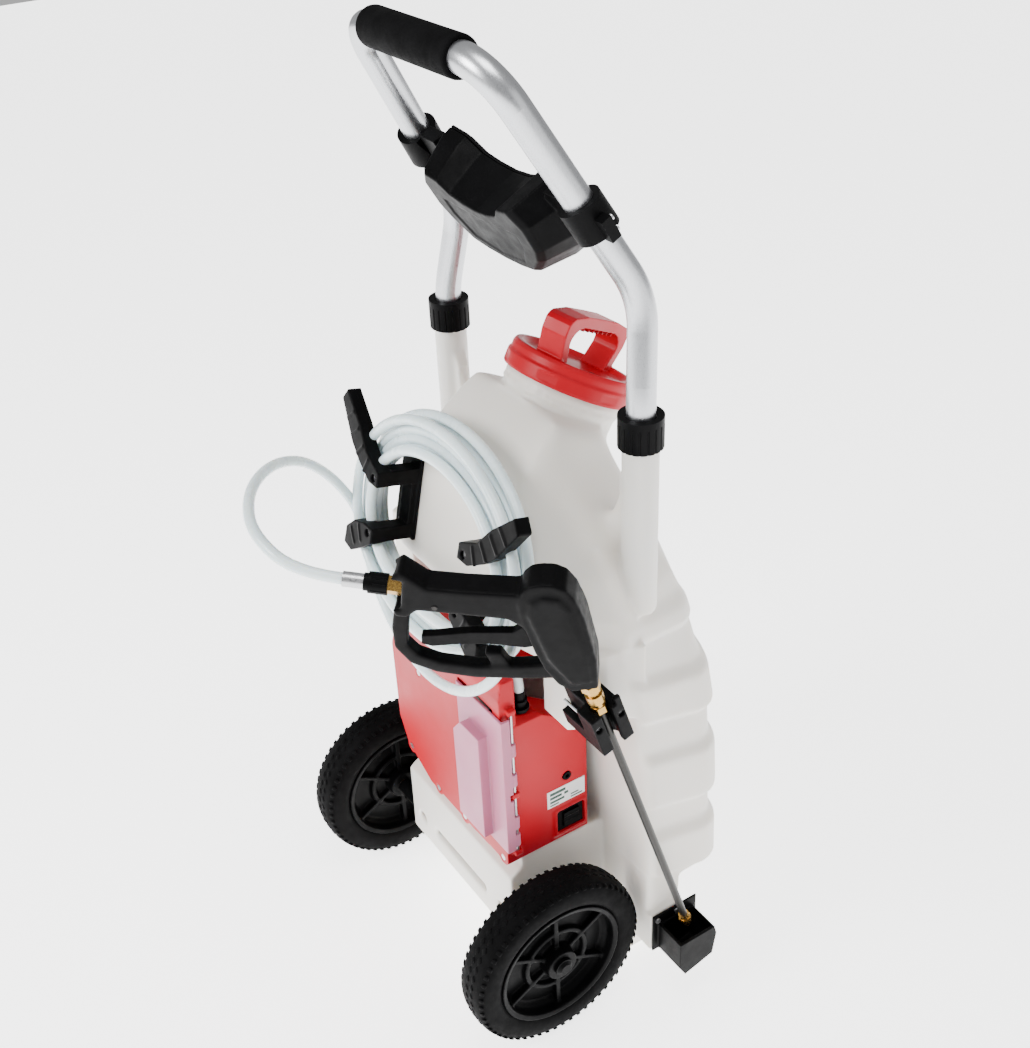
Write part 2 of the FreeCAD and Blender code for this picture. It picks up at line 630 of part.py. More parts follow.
def make_cap():
    """Screw cap with a dished top and a tall bail handle across it. Local Z is the neck axis."""
    up = V(0, 0, 1)
    solid = cyl(V(0, 0, 25), up, CAP_R, 19).fuse(Part.makeCone(CAP_R, CAP_R - 4, 13, V(0, 0, 44), up))
    solid = solid.cut(cyl(V(0, 0, 24), up, NECK_R + 3.2, 22.8))
    solid = solid.cut(Part.makeCone(52, 66, 8, V(0, 0, 50), up))
    for i in range(6):
        panel = box(CAP_R - 1.2, CAP_R + 2, -22, 22, 29, 40)
        panel.rotate(V(0, 0, 0), up, i * 60 + 10)
        solid = solid.cut(panel)
    outer = [V(-64, -17, 48), V(64, -17, 48), V(77, -17, 84), V(77, -17, 98), V(68, -17, 107),
             V(40, -17, 112), V(-40, -17, 112), V(-68, -17, 107), V(-77, -17, 98), V(-77, -17, 84)]
    inner = [V(-48, -30, 46), V(48, -30, 46), V(60, -30, 78), V(57, -30, 88), V(42, -30, 98),
             V(-42, -30, 98), V(-57, -30, 88), V(-60, -30, 78)]
    bail = prism(outer, V(0, 34, 0)).cut(prism(inner, V(0, 60, 0)))
    for x in (-36, -24, -12, 0, 12, 24, 36):
        bail = bail.fuse(box(x - 1, x + 1, -15, 15, 93, 99))
    solid = solid.fuse(bail)
    solid = solid.cut(cyl(V(0, -27, 40), up, 4.05, 30))
    solid.rotate(V(0, 0, 0), up, CAP_TURN)
    return moved(solid.removeSplitter(), CAP)


def make_gasket():
    solid = cyl(V(0, 0, 45.1), V(0, 0, 1), 72.5, 1.6).cut(cyl(V(0, 0, 40), V(0, 0, 1), 61, 20))
    return moved(solid, CAP)


def make_vent():
    up = V(0, 0, 1)
    solid = cyl(V(0, -27, 45), up, 3.9, 5).cut(cyl(V(0, -27, 47), up, 1.5, 10))
    solid = solid.fuse(cyl(V(0, -27, 43), up, 6.5, 3).cut(cyl(V(0, -27, 40), up, 1.5, 8)))
    solid.rotate(V(0, 0, 0), up, CAP_TURN)
    return moved(solid, CAP)


def make_strainer():
    up = V(0, 0, 1)
    cup = cyl(V(0, 0, -70), up, 58, 112).cut(cyl(V(0, 0, -67), up, 56, 130))
    lip = cyl(V(0, 0, 40), up, 61.5, 2.6).cut(cyl(V(0, 0, 39), up, 56, 5))
    solid = cup.fuse(lip)
    cuts = []
    for i in range(12):
        slot = box(50, 64, -5, 5, -58, 22)
        slot.rotate(V(0, 0, 0), up, i * 30)
        cuts.append(slot)
    return moved(solid.cut(Part.makeCompound(cuts)), CAP)


# ---- hose hooks ---------------------------------------------------------
HOOK = frame(V(0, 205.6, 655), V(1, 0, 0), up_slope(COIL_TILT))


def hook(side):
    """Bracket on the back slope: plate, spine, two posts and two flared prongs.

    Local X across, local Y up the slope, local -Z out from the tank.
    """
    plate = box(92, 136, -52, 66, -5, 0)
    spine = box(94, 118, -46, 44, -13, -4)
    post_a = box(96, 112, 28, 44, -60, -2)
    post_b = box(96, 112, -46, -30, -60, -2)
    top = prism([V(96, 28, -60), V(112, 28, -60), V(140, 44, -60), V(160, 60, -60), V(196, 106, -60),
                 V(184, 120, -60), V(150, 84, -60), V(130, 58, -60), V(96, 44, -60)], V(0, 0, 10))
    low = prism([V(96, -30, -60), V(112, -30, -60), V(135, -38, -60), V(178, -62, -60), V(184, -84, -60),
                 V(164, -88, -60), V(125, -62, -60), V(96, -46, -60)], V(0, 0, 10))
    solid = plate.fuse(spine).fuse(post_a).fuse(post_b).fuse(top).fuse(low)
    for y in (36, -38):
        solid = solid.cut(cyl(V(104, y, 1), V(0, 0, -1), 2.6, 70))
        solid = solid.cut(cyl(V(104, y, -57), V(0, 0, -1), 5.0, 20))
    if side < 0:
        solid = mirror_x(solid)
    return moved(solid.removeSplitter(), HOOK)


def hook_screws():
    out = []
    for side in (-1, 1):
        for y in (36, -38):
            screw = cyl(V(side * 104, y, -57.1), V(0, 0, -1), 4.6, 3)
            screw = screw.fuse(cyl(V(side * 104, y, -0.2), V(0, 0, -1), 2.3, 57))
            out.append(moved(screw, HOOK))
    return Part.makeCompound(out)


# ---- gun, lance and their holders ---------------------------------------
GUN_O = V(-262, 235, 700)
DOWN = V(0.008, -0.305, -0.952).normalize()
BACK = V(0.660, 0.717, -0.224)
GUN = frame(GUN_O, DOWN, BACK)


def flat(points, z0, z1):
    return prism([V(a, b, z0) for a, b in points], V(0, 0, z1 - z0))


GUN_BODY = [(-66, -6), (-52, -21), (-20, -26), (58, -21), (98, -13), (99, 15), (82, 28), (60, 34),
            (30, 38), (-4, 38), (-50, 30), (-66, 12)]
GUN_GRIP = [(-52, 10), (-72, 84), (-84, 120), (-112, 138), (-104, 152), (-86, 164), (-50, 166),
            (-34, 140), (-22, 105), (-6, 38), (-6, 12)]
GUN_GUARD = [(60, 30), (84, 30), (80, 60), (68, 118), (52, 156), (32, 180), (4, 188), (-26, 180),
             (-52, 168), (-50, 150), (-24, 162), (2, 172), (20, 166), (36, 146), (50, 110), (58, 60)]


def grip_axis():
    return V(-56, 143, 0).normalize()


def make_gun_shell():
    body_part = softened(flat(GUN_BODY, -18, 18), 7.0, lambda e: abs(e.Length - 36) > 1e-3)
    grip = softened(flat(GUN_GRIP, -15, 15), 6.0, lambda e: abs(e.Length - 30) > 1e-3)
    guard = flat(GUN_GUARD, -8, 8)
    web = flat([(34, 78), (56, 74), (56, 94), (30, 96)], -7, 7)
    solid = body_part.fuse(grip).fuse(guard).fuse(web)
    solid = solid.cut(cyl(V(-34, 0, 0), V(1, 0, 0), 9.3, 160))
    solid = solid.cut(cyl(V(-20, 0, 0), grip_axis(), 5.4, 220))
    solid = solid.cut(cyl(V(-20, 0, 0) + grip_axis() * 160, grip_axis(), 26.0, 60))
    solid = solid.cut(flat([(-8, 4), (44, 4), (44, 52), (-8, 52)], -5.3, 5.3))
    for a, b in [(-46, 10), (76, -14), (-56, 120)]:
        solid = solid.cut(cyl(V(a, b, -20), V(0, 0, 1), 1.6, 32))
        solid = solid.cut(cyl(V(a, b, -20), V(0, 0, 1), 3.2, 7))
    solid = solid.cut(cyl(V(12, 22, -20), V(0, 0, 1), 2.55, 40))
    return solid.removeSplitter()


def gun_half(whole, side):
    room = box(-300, 300, -300, 300, 0.05, 60) if side > 0 else box(-300, 300, -300, 300, -60, -0.05)
    return moved(whole.common(room), GUN)


def gun_screws():
    out = []
    for a, b in [(-46, 10), (76, -14), (-56, 120)]:
        out.append(cyl(V(a, b, -15.8), V(0, 0, 1), 3.0, 2.4).fuse(cyl(V(a, b, -14), V(0, 0, 1), 1.5, 25)))
    return moved(Part.makeCompound(out), GUN)


def make_trigger():
    blade = flat([(-4, 14), (22, 12), (30, 30), (32, 50), (20, 84), (14, 118), (12, 148), (6, 158),
                  (-6, 154), (-4, 138), (-2, 100), (6, 56), (-2, 40)], -5, 5)
    solid = blade.cut(cyl(V(12, 22, -10), V(0, 0, 1), 2.55, 20))
    solid = solid.cut(cyl(V(-40, 0, 0), V(1, 0, 0), 9.4, 160))
    return moved(solid, GUN)


def make_valve_block():
    bar = cyl(V(-32, 0, 0), V(1, 0, 0), 9.2, 131).fuse(cyl(V(-20, 0, 0), grip_axis(), 5.3, 170))
    return moved(bar.removeSplitter(), GUN)


def grip_point(s):
    """Point on the inlet axis, s beyond the heel of the grip."""
    return V(-20, 0, 0) + grip_axis() * (167 + s)


def hexagon(base, axis, across, height):
    place = FreeCAD.Placement(base, FreeCAD.Rotation(V(0, 0, 1), axis))
    radius = across / math.sqrt(3)
    points = [V(radius * math.cos(math.radians(60 * i)), radius * math.sin(math.radians(60 * i)), 0)
              for i in range(6)]
    return moved(prism(points, V(0, 0, height)), place)


def make_inlet_hex():
    axis = grip_axis()
    solid = hexagon(grip_point(-6.9), axis, 17, 14.9).cut(cyl(grip_point(-9), axis, 5.35, 12.1))
    return moved(solid, GUN)


def make_gun_nut():
    axis = grip_axis()
    solid = cyl(grip_point(8.1), axis, 11.5, 20).fuse(cyl(grip_point(28), axis, 9.5, 5))
    for i in range(10):
        a = 2 * math.pi * i / 10
        side = V(0, 0, 1) * math.cos(a) + axis.cross(V(0, 0, 1)) * math.sin(a)
        solid = solid.cut(cyl(grip_point(8) + side * 12.2, axis, 1.6, 17))
    return moved(solid.removeSplitter(), GUN)


def make_sleeve():
    return moved(cyl(grip_point(33), grip_axis(), 8.2, 22), GUN)


def gun_world(point):
    return GUN.multVec(point)


LANCE_A = gun_world(V(99.1, 0, 0))


def make_coupling():
    x = V(1, 0, 0)
    solid = cyl(V(99.1, 0, 0), x, 9.0, 6).fuse(hexagon(V(105, 0, 0), x, 20, 10))
    solid = solid.fuse(cyl(V(115, 0, 0), x, 8.0, 8)).fuse(cyl(V(123, 0, 0), x, 10.2, 12))
    solid = solid.fuse(cyl(V(135, 0, 0), x, 7.6, 8)).fuse(hexagon(V(143, 0, 0), x, 16, 10))
    return moved(solid.removeSplitter(), GUN)


LANCE_0 = 153.0
LANCE_1 = 598.0


def make_lance():
    x = V(1, 0, 0)
    solid = cyl(V(LANCE_0, 0, 0), x, 5.0, LANCE_1 - LANCE_0)
    return moved(solid.cut(cyl(V(LANCE_0 - 1, 0, 0), x, 3.5, 500)), GUN)


def make_nozzle():
    x = V(1, 0, 0)
    solid = cyl(V(LANCE_1, 0, 0), x, 7.0, 10).fuse(hexagon(V(LANCE_1 + 6, 0, 0), x, 15, 8))
    solid = solid.fuse(Part.makeCone(6.2, 4.0, 12, V(LANCE_1 + 14, 0, 0), x))
    return moved(solid.cut(cyl(V(LANCE_1 - 1, 0, 0), x, 1.0, 60)).removeSplitter(), GUN)


# local frame of both holders: X down the lance, Y towards the tank, Z towards the front
HOLD = frame(GUN_O, DOWN, V(1, 0, 0))


def clip_screw_places():
    """Start points of the two clip screws, on the outer face of the clip."""
    return [moved_point(V(164, -8, z)) for z in (-16, 16)]


def moved_point(local):
    return HOLD.multVec(local)


CUP_SCREWS = [(50, 120), (82, 120), (66, 72)]


def make_clip():
    """Open-sided cradle round the coupling, with a lip that snaps past it."""
    block = box(146, 206, -15, 58, -22, 22)
    block = block.cut(cyl(V(140, 0, 0), V(1, 0, 0), 10.4, 80))
    block = block.cut(box(140, 210, -26, 0, -7.5, 7.5))
    block = block.cut(box(140, 182, 14, 80, -40, -9))
    solid = moved(block.fuse(box(136, 150, -15, -10, 14, 22)), HOLD)
    solid = solid.cut(holder_boss(0.1)).cut(box(-201, -150, 80, 240, 440, 620))
    for place in clip_screw_places():
        solid = solid.cut(cyl(place, V(1, 0, 0), 2.2, 100))
        solid = solid.cut(cyl(place - V(30, 0, 0), V(1, 0, 0), 4.2, 30))
    return solid.removeSplitter()


def make_cup():
    """Pocket for the nozzle on the flank of the tank, close to the ground."""
    outer = prism([V(-286, 24, 62), V(-286, 70, 50), V(-286, 80, 68), V(-286, 80, 112),
                   V(-286, 22, 112), V(-286, 18, 98)], V(47, 0, 0))
    inner = prism([V(-282, 28, 66), V(-282, 68, 55), V(-282, 76, 70), V(-282, 76, 130),
                   V(-282, 26, 130), V(-282, 22, 98)], V(39.5, 0, 0))
    plate = box(-239.4, -236.1, 16, 89, 64, 128)
    solid = outer.cut(inner).fuse(plate)
    for y, z in CUP_SCREWS:
        solid = solid.cut(cyl(V(-250, y, z), V(1, 0, 0), 2.2, 30))
        solid = solid.cut(cyl(V(-250, y, z), V(1, 0, 0), 4.2, 10.5))
    return solid.removeSplitter()


def holder_screws():
    x = V(1, 0, 0)
    out = []
    for y, z in CUP_SCREWS:
        out.append(cyl(V(-241.9, y, z), x, 4.0, 2.4).fuse(cyl(V(-239.6, y, z), x, 2.0, 16)))
    for place in clip_screw_places():
        out.append(cyl(place - V(2.5, 0, 0), x, 4.0, 2.4).fuse(cyl(place - V(0.2, 0, 0), x, 2.0, 60)))
    return Part.makeCompound(out)


# ---- hose ---------------------------------------------------------------
COIL = frame(COIL_C, V(1, 0, 0), up_slope(COIL_TILT))


def make_coil():
    """Outer shape of the hank: an oval ring leaning on the back of the tank."""
    outer = Part.Face(Part.Wire(Part.Ellipse(V(0, 0, 0), 202, 170).toShape()))
    inner = Part.Face(Part.Wire(Part.Ellipse(V(0, 0, 0), 136, 104).toShape()))
    ring = outer.extrude(V(0, 0, 28)).cut(inner.extrude(V(0, 0, 28)))
    ring.translate(V(0, 0, -14))
    ring = softened(ring, 9.0, lambda e: isinstance(e.Curve, Part.Ellipse))
    return moved(ring, COIL)


TAIL_START = gun_world(grip_point(55))
TAIL = [TAIL_START, gun_world(grip_point(105)), V(-40, 470, 779), V(16, 452, 784), V(68, 418, 779),
        V(112, 374, 764), V(144, 328, 735), V(162, 290, 692), V(172, 264, 648), V(176, 251, 616)]

OUTLET = V(-118, 205, 478)
LEAD = [V(-118, 205, 494), V(-118, 205, 520), V(-115, 214, 547), V(-106.3, 231, 569.6),
        V(-86.4, 245.4, 590), V(-60.4, 254.5, 601.7), V(-28.3, 257.5, 605.6), V(3, 257.5, 598),
        V(33, 255.5, 586), V(64, 255.5, 579), V(95, 256, 583)]


def make_cord(name, points):
    radii = cord_radii(points)
    wire = bent_path(points, radii)
    solid = round_bar(wire, HOSE_R)
    report_cord(name, wire, radii, solid, HOSE_R)
    return solid


# ---- write everything ---------------------------------------------------
def main():
    save(make_tank(), "tank")
    save(make_strainer(), "neck_strainer")
    save(make_cap(), "cap")
    save(make_gasket(), "cap_gasket")
    save(make_vent(), "vent_valve")

    save(cyl(V(-WHEEL_X - 30.8, AXLE_Y, AXLE_Z), V(1, 0, 0), AXLE_R, 2 * WHEEL_X + 61.6), "axle")
    save(washers(), "axle_spacers")
    save(Part.makeCompound([axle_cap(-1), axle_cap(1)]), "axle_caps")
    save(Part.makeCompound([collet(-1), collet(1)]), "collets")
    for side, name in [(-1, "left"), (1, "right")]:
        save(tyre(side), "tyre_" + name)
        save(rim(side), "rim_" + name)
        save(bush(side), "bush_" + name)
        save(collar(side), "collar_" + name)
        save(hook(side), "hose_hook_" + name)
    save(hook_screws(), "hook_screws")

    save(make_housing(), "pump_housing")
    save(make_door(), "battery_door")
    pin = cyl(V(-HOUSING_X - 4.5, 232, DOOR_Z0 - 8), V(0, 0, 1), 1.95, DOOR_Z1 - DOOR_Z0 + 16)
    save(pin, "door_pin")
    save(tank_screws(), "housing_screws")
    battery = softened(box(-116, -48, 180, 240, 282, 404), 6.0, along(V(0, 0, 1)))
    save(battery, "battery")
    save(box(-114, -50, 172, 176, 275, 398).fuse(box(-114, -50, 122, 244.0, 273, 278)), "battery_tray")
    save(cyl(V(10, 176, 330), V(1, 0, 0), 26, 84), "pump_motor")
    head = box(-36, 9.8, 148, 204, 300, 360)
    save(softened(head, 5.0, along(V(1, 0, 0))), "pump_head")
    suction_path = bent_path([V(-60, 96, 262), V(-60, 150, 262), V(-14, 172, 262), V(-14, 172, 299.8)],
                             [16, 14])
    outlet = cyl(V(-118, 205, 452), V(0, 0, 1), 8.0, 26).fuse(cyl(OUTLET, V(0, 0, 1), 10, 4))
    outlet = outlet.fuse(cyl(OUTLET + V(0, 0, 4), V(0, 0, 1), 7.5, 12))
    outlet = outlet.fuse(cyl(V(-118, 205, 467.5), V(0, 0, 1), 12, 4))
    save(outlet, "hose_outlet")
    delivery = bent_path([V(-14, 160, 360.2), V(-14, 160, 412), V(-118, 205, 424),
                          V(-118, 205, 451.9)], [20, 20])
    save(Part.makeCompound([round_bar(suction_path, 6.0), round_bar(delivery, 5.0)]), "pump_hoses")
    rocker = box(-HOUSING_X - 2, -HOUSING_X + 7, 134, 158, 256, 278)
    rocker = rocker.fuse(cyl(V(-130, 133.2, 267), V(0, 1, 0), 1.4, 25.6))
    save(rocker.cut(cyl(V(-HOUSING_X - 8, 130, 267), V(0, 1, 0), 7.4, 40)), "power_switch")
    bezel = box(-HOUSING_X + 1, -HOUSING_X + 4, 127, 167, 249, 285)
    save(bezel.cut(box(-200, 0, 133.4, 158.6, 254.4, 279.6)), "switch_bezel")
    jack = cyl(V(-HOUSING_X - 1.2, 151, 340), V(1, 0, 0), 6.0, 12)
    jack = jack.cut(cyl(V(-HOUSING_X - 2, 151, 340), V(1, 0, 0), 3.0, 8))
    save(jack, "charge_socket")
    save(box(-HOUSING_X - 0.8, -HOUSING_X, 124, 182, 298, 326), "label_plate")

    save(make_handle(), "handle_tube")
    grip = cyl(V(-85, 211, 1224), V(1, 0, 0), 21, 170)
    save(grip.cut(cyl(V(-90, 211, 1224), V(1, 0, 0), TUBE_R + 0.05, 180)), "grip")
    save(make_tray_box(), "tray_box")
    save(make_tray_cover(), "tray_cover")
    save(make_tray_knob(), "tray_knob")
    save(moved(cyl(V(-33, -93.5, 18.4), V(1, 0, 0), 1.4, 66), TRAY), "cover_pin")
    save(make_tray_clamps(), "tray_clamps")
    save(clamp_screws(), "clamp_screws")

    whole = make_gun_shell()
    save(gun_half(whole, -1), "gun_shell_front")
    save(gun_half(whole, 1), "gun_shell_back")
    save(gun_screws(), "gun_screws")
    save(make_trigger(), "trigger")
    save(moved(cyl(V(12, 22, -13), V(0, 0, 1), 2.5, 26), GUN), "trigger_pin")
    save(make_valve_block(), "valve_block")
    save(make_inlet_hex(), "inlet_fitting")
    save(make_gun_nut(), "gun_nut")
    save(make_sleeve(), "hose_sleeve")
    save(make_coupling(), "lance_coupling")
    save(make_lance(), "lance_tube")
    save(make_nozzle(), "nozzle")
    save(make_clip(), "lance_clip")
    save(make_cup(), "foot_cup")
    save(holder_screws(), "holder_screws")

    save(make_coil(), "hose_coil")
    save(make_cord("tail", TAIL), "hose_tail")
    save(make_cord("lead", LEAD), "hose_lead")


main()
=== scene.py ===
import math
import bpy
import bmesh
from mathutils import Matrix, Vector


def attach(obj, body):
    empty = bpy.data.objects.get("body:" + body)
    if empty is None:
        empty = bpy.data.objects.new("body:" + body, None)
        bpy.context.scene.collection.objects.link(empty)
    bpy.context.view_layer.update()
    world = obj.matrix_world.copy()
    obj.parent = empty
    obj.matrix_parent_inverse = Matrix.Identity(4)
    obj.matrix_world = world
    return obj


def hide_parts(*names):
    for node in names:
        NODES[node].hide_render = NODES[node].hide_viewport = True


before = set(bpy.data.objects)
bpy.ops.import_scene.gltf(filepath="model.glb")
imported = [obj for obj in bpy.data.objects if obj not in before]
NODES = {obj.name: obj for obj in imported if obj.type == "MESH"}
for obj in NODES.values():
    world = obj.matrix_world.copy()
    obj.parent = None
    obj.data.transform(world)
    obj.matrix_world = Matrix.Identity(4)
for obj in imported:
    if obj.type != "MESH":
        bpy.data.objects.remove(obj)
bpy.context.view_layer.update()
MM = 0.001


# ---- meshes -------------------------------------------------------------
# Shapes are (points, faces) in millimetres, in the CAD's frame.
def box(x0, x1, y0, y1, z0, z1):
    return prism([(x0, y0, z0), (x1, y0, z0), (x1, y1, z0), (x0, y1, z0)], (0, 0, z1 - z0))


def prism(points, way):
    low = [Vector(p) for p in points]
    high = [p + Vector(way) for p in low]
    n = len(low)
    faces = [list(range(n))[::-1], list(range(n, 2 * n))]
    faces += [[i, (i + 1) % n, n + (i + 1) % n, n + i] for i in range(n)]
    return low + high, faces


def lathe(profile, base, axis, steps=72):
    """Closed profile of (radius, height) turned about an axis; a point at radius 0 is kept just off it."""
    axis = Vector(axis).normalized()
    side = axis.orthogonal().normalized()
    other = axis.cross(side)
    points = []
    for i in range(steps):
        a = 2 * math.pi * i / steps
        out = side * math.cos(a) + other * math.sin(a)
        points += [Vector(base) + out * max(r, 0.01) + axis * h for r, h in profile]
    m = len(profile)
    faces = []
    for i in range(steps):
        j = (i + 1) % steps
        for k in range(m):
            l = (k + 1) % m
            faces.append([i * m + k, j * m + k, j * m + l, i * m + l])
    return points, faces


def disc(base, axis, radius, height, top=None, steps=72):
    """Closed cylinder or cone."""
    axis = Vector(axis).normalized()
    side = axis.orthogonal().normalized()
    other = axis.cross(side)
    top = radius if top is None else top
    points = []
    for r, h in ((radius, 0), (top, height)):
        for i in range(steps):
            a = 2 * math.pi * i / steps
            points.append(Vector(base) + (side * math.cos(a) + other * math.sin(a)) * r + axis * h)
    faces = [list(range(steps))[::-1], list(range(steps, 2 * steps))]
    faces += [[i, (i + 1) % steps, steps + (i + 1) % steps, steps + i] for i in range(steps)]
    return points, faces


def place(shape, matrix):
    return [matrix @ Vector(p) for p in shape[0]], shape[1]


def turned(shape, angle, axis="Z"):
    return place(shape, Matrix.Rotation(math.radians(angle), 4, axis))


def mirrored(shape):
    return [Vector((-p[0], p[1], p[2])) for p in shape[0]], [f[::-1] for f in shape[1]]


def frame_of(origin, x_axis, y_axis):
    x = Vector(x_axis).normalized()
    z = x.cross(Vector(y_axis)).normalized()
    y = z.cross(x)
    m = Matrix((x, y, z)).transposed().to_4x4()
    m.translation = Vector(origin)
    return m


def smooth_shade(obj):
    for face in obj.data.polygons:
        face.use_smooth = True


def raw_object(name, shape):
    mesh = bpy.data.meshes.new(name)
    mesh.from_pydata([Vector(p) * MM for p in shape[0]], [], shape[1])
    bm = bmesh.new()
    bm.from_mesh(mesh)
    bmesh.ops.recalc_face_normals(bm, faces=bm.faces)
    bm.to_mesh(mesh)
    bm.free()
    obj = bpy.data.objects.new(name, mesh)
    bpy.context.scene.collection.objects.link(obj)
    return obj


def bake(obj):
    """Apply every modifier."""
    graph = bpy.context.evaluated_depsgraph_get()
    graph.update()
    mesh = bpy.data.meshes.new_from_object(obj.evaluated_get(graph))
    obj.modifiers.clear()
    obj.data = mesh
    return obj


def solid(name, plus, minus=(), voxel=1.2, rounds=4, factor=0.5):
    """Union of shapes less others; the edges are softened unless voxel is 0."""
    obj = raw_object(name, plus[0])
    helpers = []
    for shape, operation in [(s, "UNION") for s in plus[1:]] + [(s, "DIFFERENCE") for s in minus]:
        tool = raw_object(name + "_tool", shape)
        helpers.append(tool)
        cut = obj.modifiers.new("cut", "BOOLEAN")
        cut.operation = operation
        cut.object = tool
        cut.solver = "MANIFOLD"
    if voxel:
        remesh = obj.modifiers.new("remesh", "REMESH")
        remesh.mode = "VOXEL"
        remesh.voxel_size = voxel * MM
        smooth = obj.modifiers.new("smooth", "SMOOTH")
        smooth.factor = factor
        smooth.iterations = rounds
    bake(obj)
    for tool in helpers:
        bpy.data.objects.remove(tool)
    smooth_shade(obj)
    return obj


def merged(name, plus, minus=()):
    """Union of shapes less others, as one plain shape."""
    obj = solid(name, plus, minus, voxel=0)
    shape = ([v.co / MM for v in obj.data.vertices], [list(f.vertices) for f in obj.data.polygons])
    bpy.data.objects.remove(obj)
    return shape


def carry(obj, where):
    """Move a mesh built at the origin to its place, given in millimetres."""
    obj.data.transform(Matrix.Scale(MM, 4) @ where @ Matrix.Scale(1 / MM, 4))


def put(obj, body, material, slot, *nodes):
    obj.data.materials.clear()
    obj.data.materials.append(material)
    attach(obj, body)
    if nodes:
        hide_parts(*nodes)
    return obj


# ---- materials ----------------------------------------------------------
def new_material(name):
    mat = bpy.data.materials.new(name)
    mat.use_nodes = True
    return mat, mat.node_tree, mat.node_tree.nodes["Principled BSDF"]


def position(tree):
    return tree.nodes.new("ShaderNodeTexCoord").outputs["Object"]


def noise(tree, where, scale, detail=3.0, rough=0.55):
    tex = tree.nodes.new("ShaderNodeTexNoise")
    tex.inputs["Scale"].default_value = scale
    tex.inputs["Detail"].default_value = detail
    tex.inputs["Roughness"].default_value = rough
    tree.links.new(where, tex.inputs["Vector"])
    return tex.outputs["Fac"]


def spread(tree, value, low, high, from_low=0.3, from_high=0.7):
    node = tree.nodes.new("ShaderNodeMapRange")
    node.inputs["From Min"].default_value = from_low
    node.inputs["From Max"].default_value = from_high
    node.inputs["To Min"].default_value = low
    node.inputs["To Max"].default_value = high
    tree.links.new(value, node.inputs["Value"])
    return node.outputs["Result"]


def mix_colours(tree, value, a, b):
    node = tree.nodes.new("ShaderNodeMix")
    node.data_type = "RGBA"
    for socket in node.inputs:
        if socket.type == "RGBA" and socket.name in ("A", "B"):
            socket.default_value = (*(a if socket.name == "A" else b), 1)
    tree.links.new(value, node.inputs["Factor"])
    return [o for o in node.outputs if o.type == "RGBA"][0]


def bump(tree, shader, height, strength, distance):
    node = tree.nodes.new("ShaderNodeBump")
    node.inputs["Strength"].default_value = strength
    node.inputs["Distance"].default_value = distance
    tree.links.new(height, node.inputs["Height"])
    tree.links.new(node.outputs["Normal"], shader.inputs["Normal"])


def plastic(name, dark, light, rough=(0.35, 0.5), grain=900.0, grain_depth=0.00012, patch=9.0,
            subsurface=0.0, coat=0.0, specular=0.5):
    mat, tree, shader = new_material(name)
    where = position(tree)
    tree.links.new(mix_colours(tree, spread(tree, noise(tree, where, patch), 0, 1), dark, light),
                   shader.inputs["Base Color"])
    tree.links.new(spread(tree, noise(tree, where, patch * 3.1, 5), *rough), shader.inputs["Roughness"])
    bump(tree, shader, noise(tree, where, grain, 2), 0.35, grain_depth)
    shader.inputs["Coat Weight"].default_value = coat
    shader.inputs["Specular IOR Level"].default_value = specular
    if subsurface:
        shader.inputs["Subsurface Weight"].default_value = subsurface
        shader.inputs["Subsurface Radius"].default_value = (1.0, 0.85, 0.65)
        shader.inputs["Subsurface Scale"].default_value = 0.012
    return mat


def metal(name, dark, light, rough=(0.2, 0.36), stretch=(1, 1, 1), grain=500.0, depth=0.00004):
    mat, tree, shader = new_material(name)
    where = position(tree)
    scale = tree.nodes.new("ShaderNodeMapping")
    scale.inputs["Scale"].default_value = stretch
    tree.links.new(where, scale.inputs["Vector"])
    fine = noise(tree, scale.outputs["Vector"], grain, 3)
    tree.links.new(mix_colours(tree, spread(tree, fine, 0, 1), dark, light), shader.inputs["Base Color"])
    tree.links.new(spread(tree, fine, *rough), shader.inputs["Roughness"])
    shader.inputs["Metallic"].default_value = 1.0
    bump(tree, shader, fine, 0.3, depth)
    return mat


def frosted(name, dark, light):
    mat, tree, shader = new_material(name)
    where = position(tree)
    tree.links.new(mix_colours(tree, noise(tree, where, 12.0), dark, light), shader.inputs["Base Color"])
    tree.links.new(spread(tree, noise(tree, where, 40.0), 0.3, 0.42), shader.inputs["Roughness"])
    shader.inputs["Transmission Weight"].default_value = 0.3
    shader.inputs["IOR"].default_value = 1.3
    shader.inputs["Subsurface Weight"].default_value = 0.2
    shader.inputs["Subsurface Scale"].default_value = 0.004
    bump(tree, shader, noise(tree, where, 800.0), 0.3, 0.00008)
    return mat


JET = ((0.0012, 0.0012, 0.0013), (0.003, 0.003, 0.0033))
TANK = plastic("tank_hdpe", (0.74, 0.70, 0.64), (0.80, 0.765, 0.71), (0.36, 0.5), 260.0, 0.0002, 3.0, 0.35)
RED = plastic("red_plastic", (0.40, 0.0, 0.008), (0.48, 0.0, 0.011), (0.34, 0.46), 700.0, 0.00006, 6.0,
              specular=0.2)
BLACK = plastic("black_plastic", *JET, (0.36, 0.52), 1400.0, 0.00014, 20.0, specular=0.05)
SHELL = plastic("gun_plastic", *JET, (0.38, 0.55), 1700.0, 0.0002, 30.0, specular=0.05)
TYRE = plastic("tyre_rubber", *JET, (0.62, 0.8), 600.0, 0.0002, 25.0, specular=0.05)
FOAM = plastic("grip_foam", *JET, (0.7, 0.9), 1500.0, 0.0004, 30.0, specular=0.05)
SEAL = plastic("seal_rubber", (0.02, 0.02, 0.02), (0.03, 0.03, 0.03), (0.6, 0.7), 900.0, 0.0001, 30.0)
HOSE = plastic("hose_pvc", (0.62, 0.73, 0.75), (0.74, 0.83, 0.85), (0.2, 0.32), 300.0, 0.00006, 14.0, 0.4, 0.2)
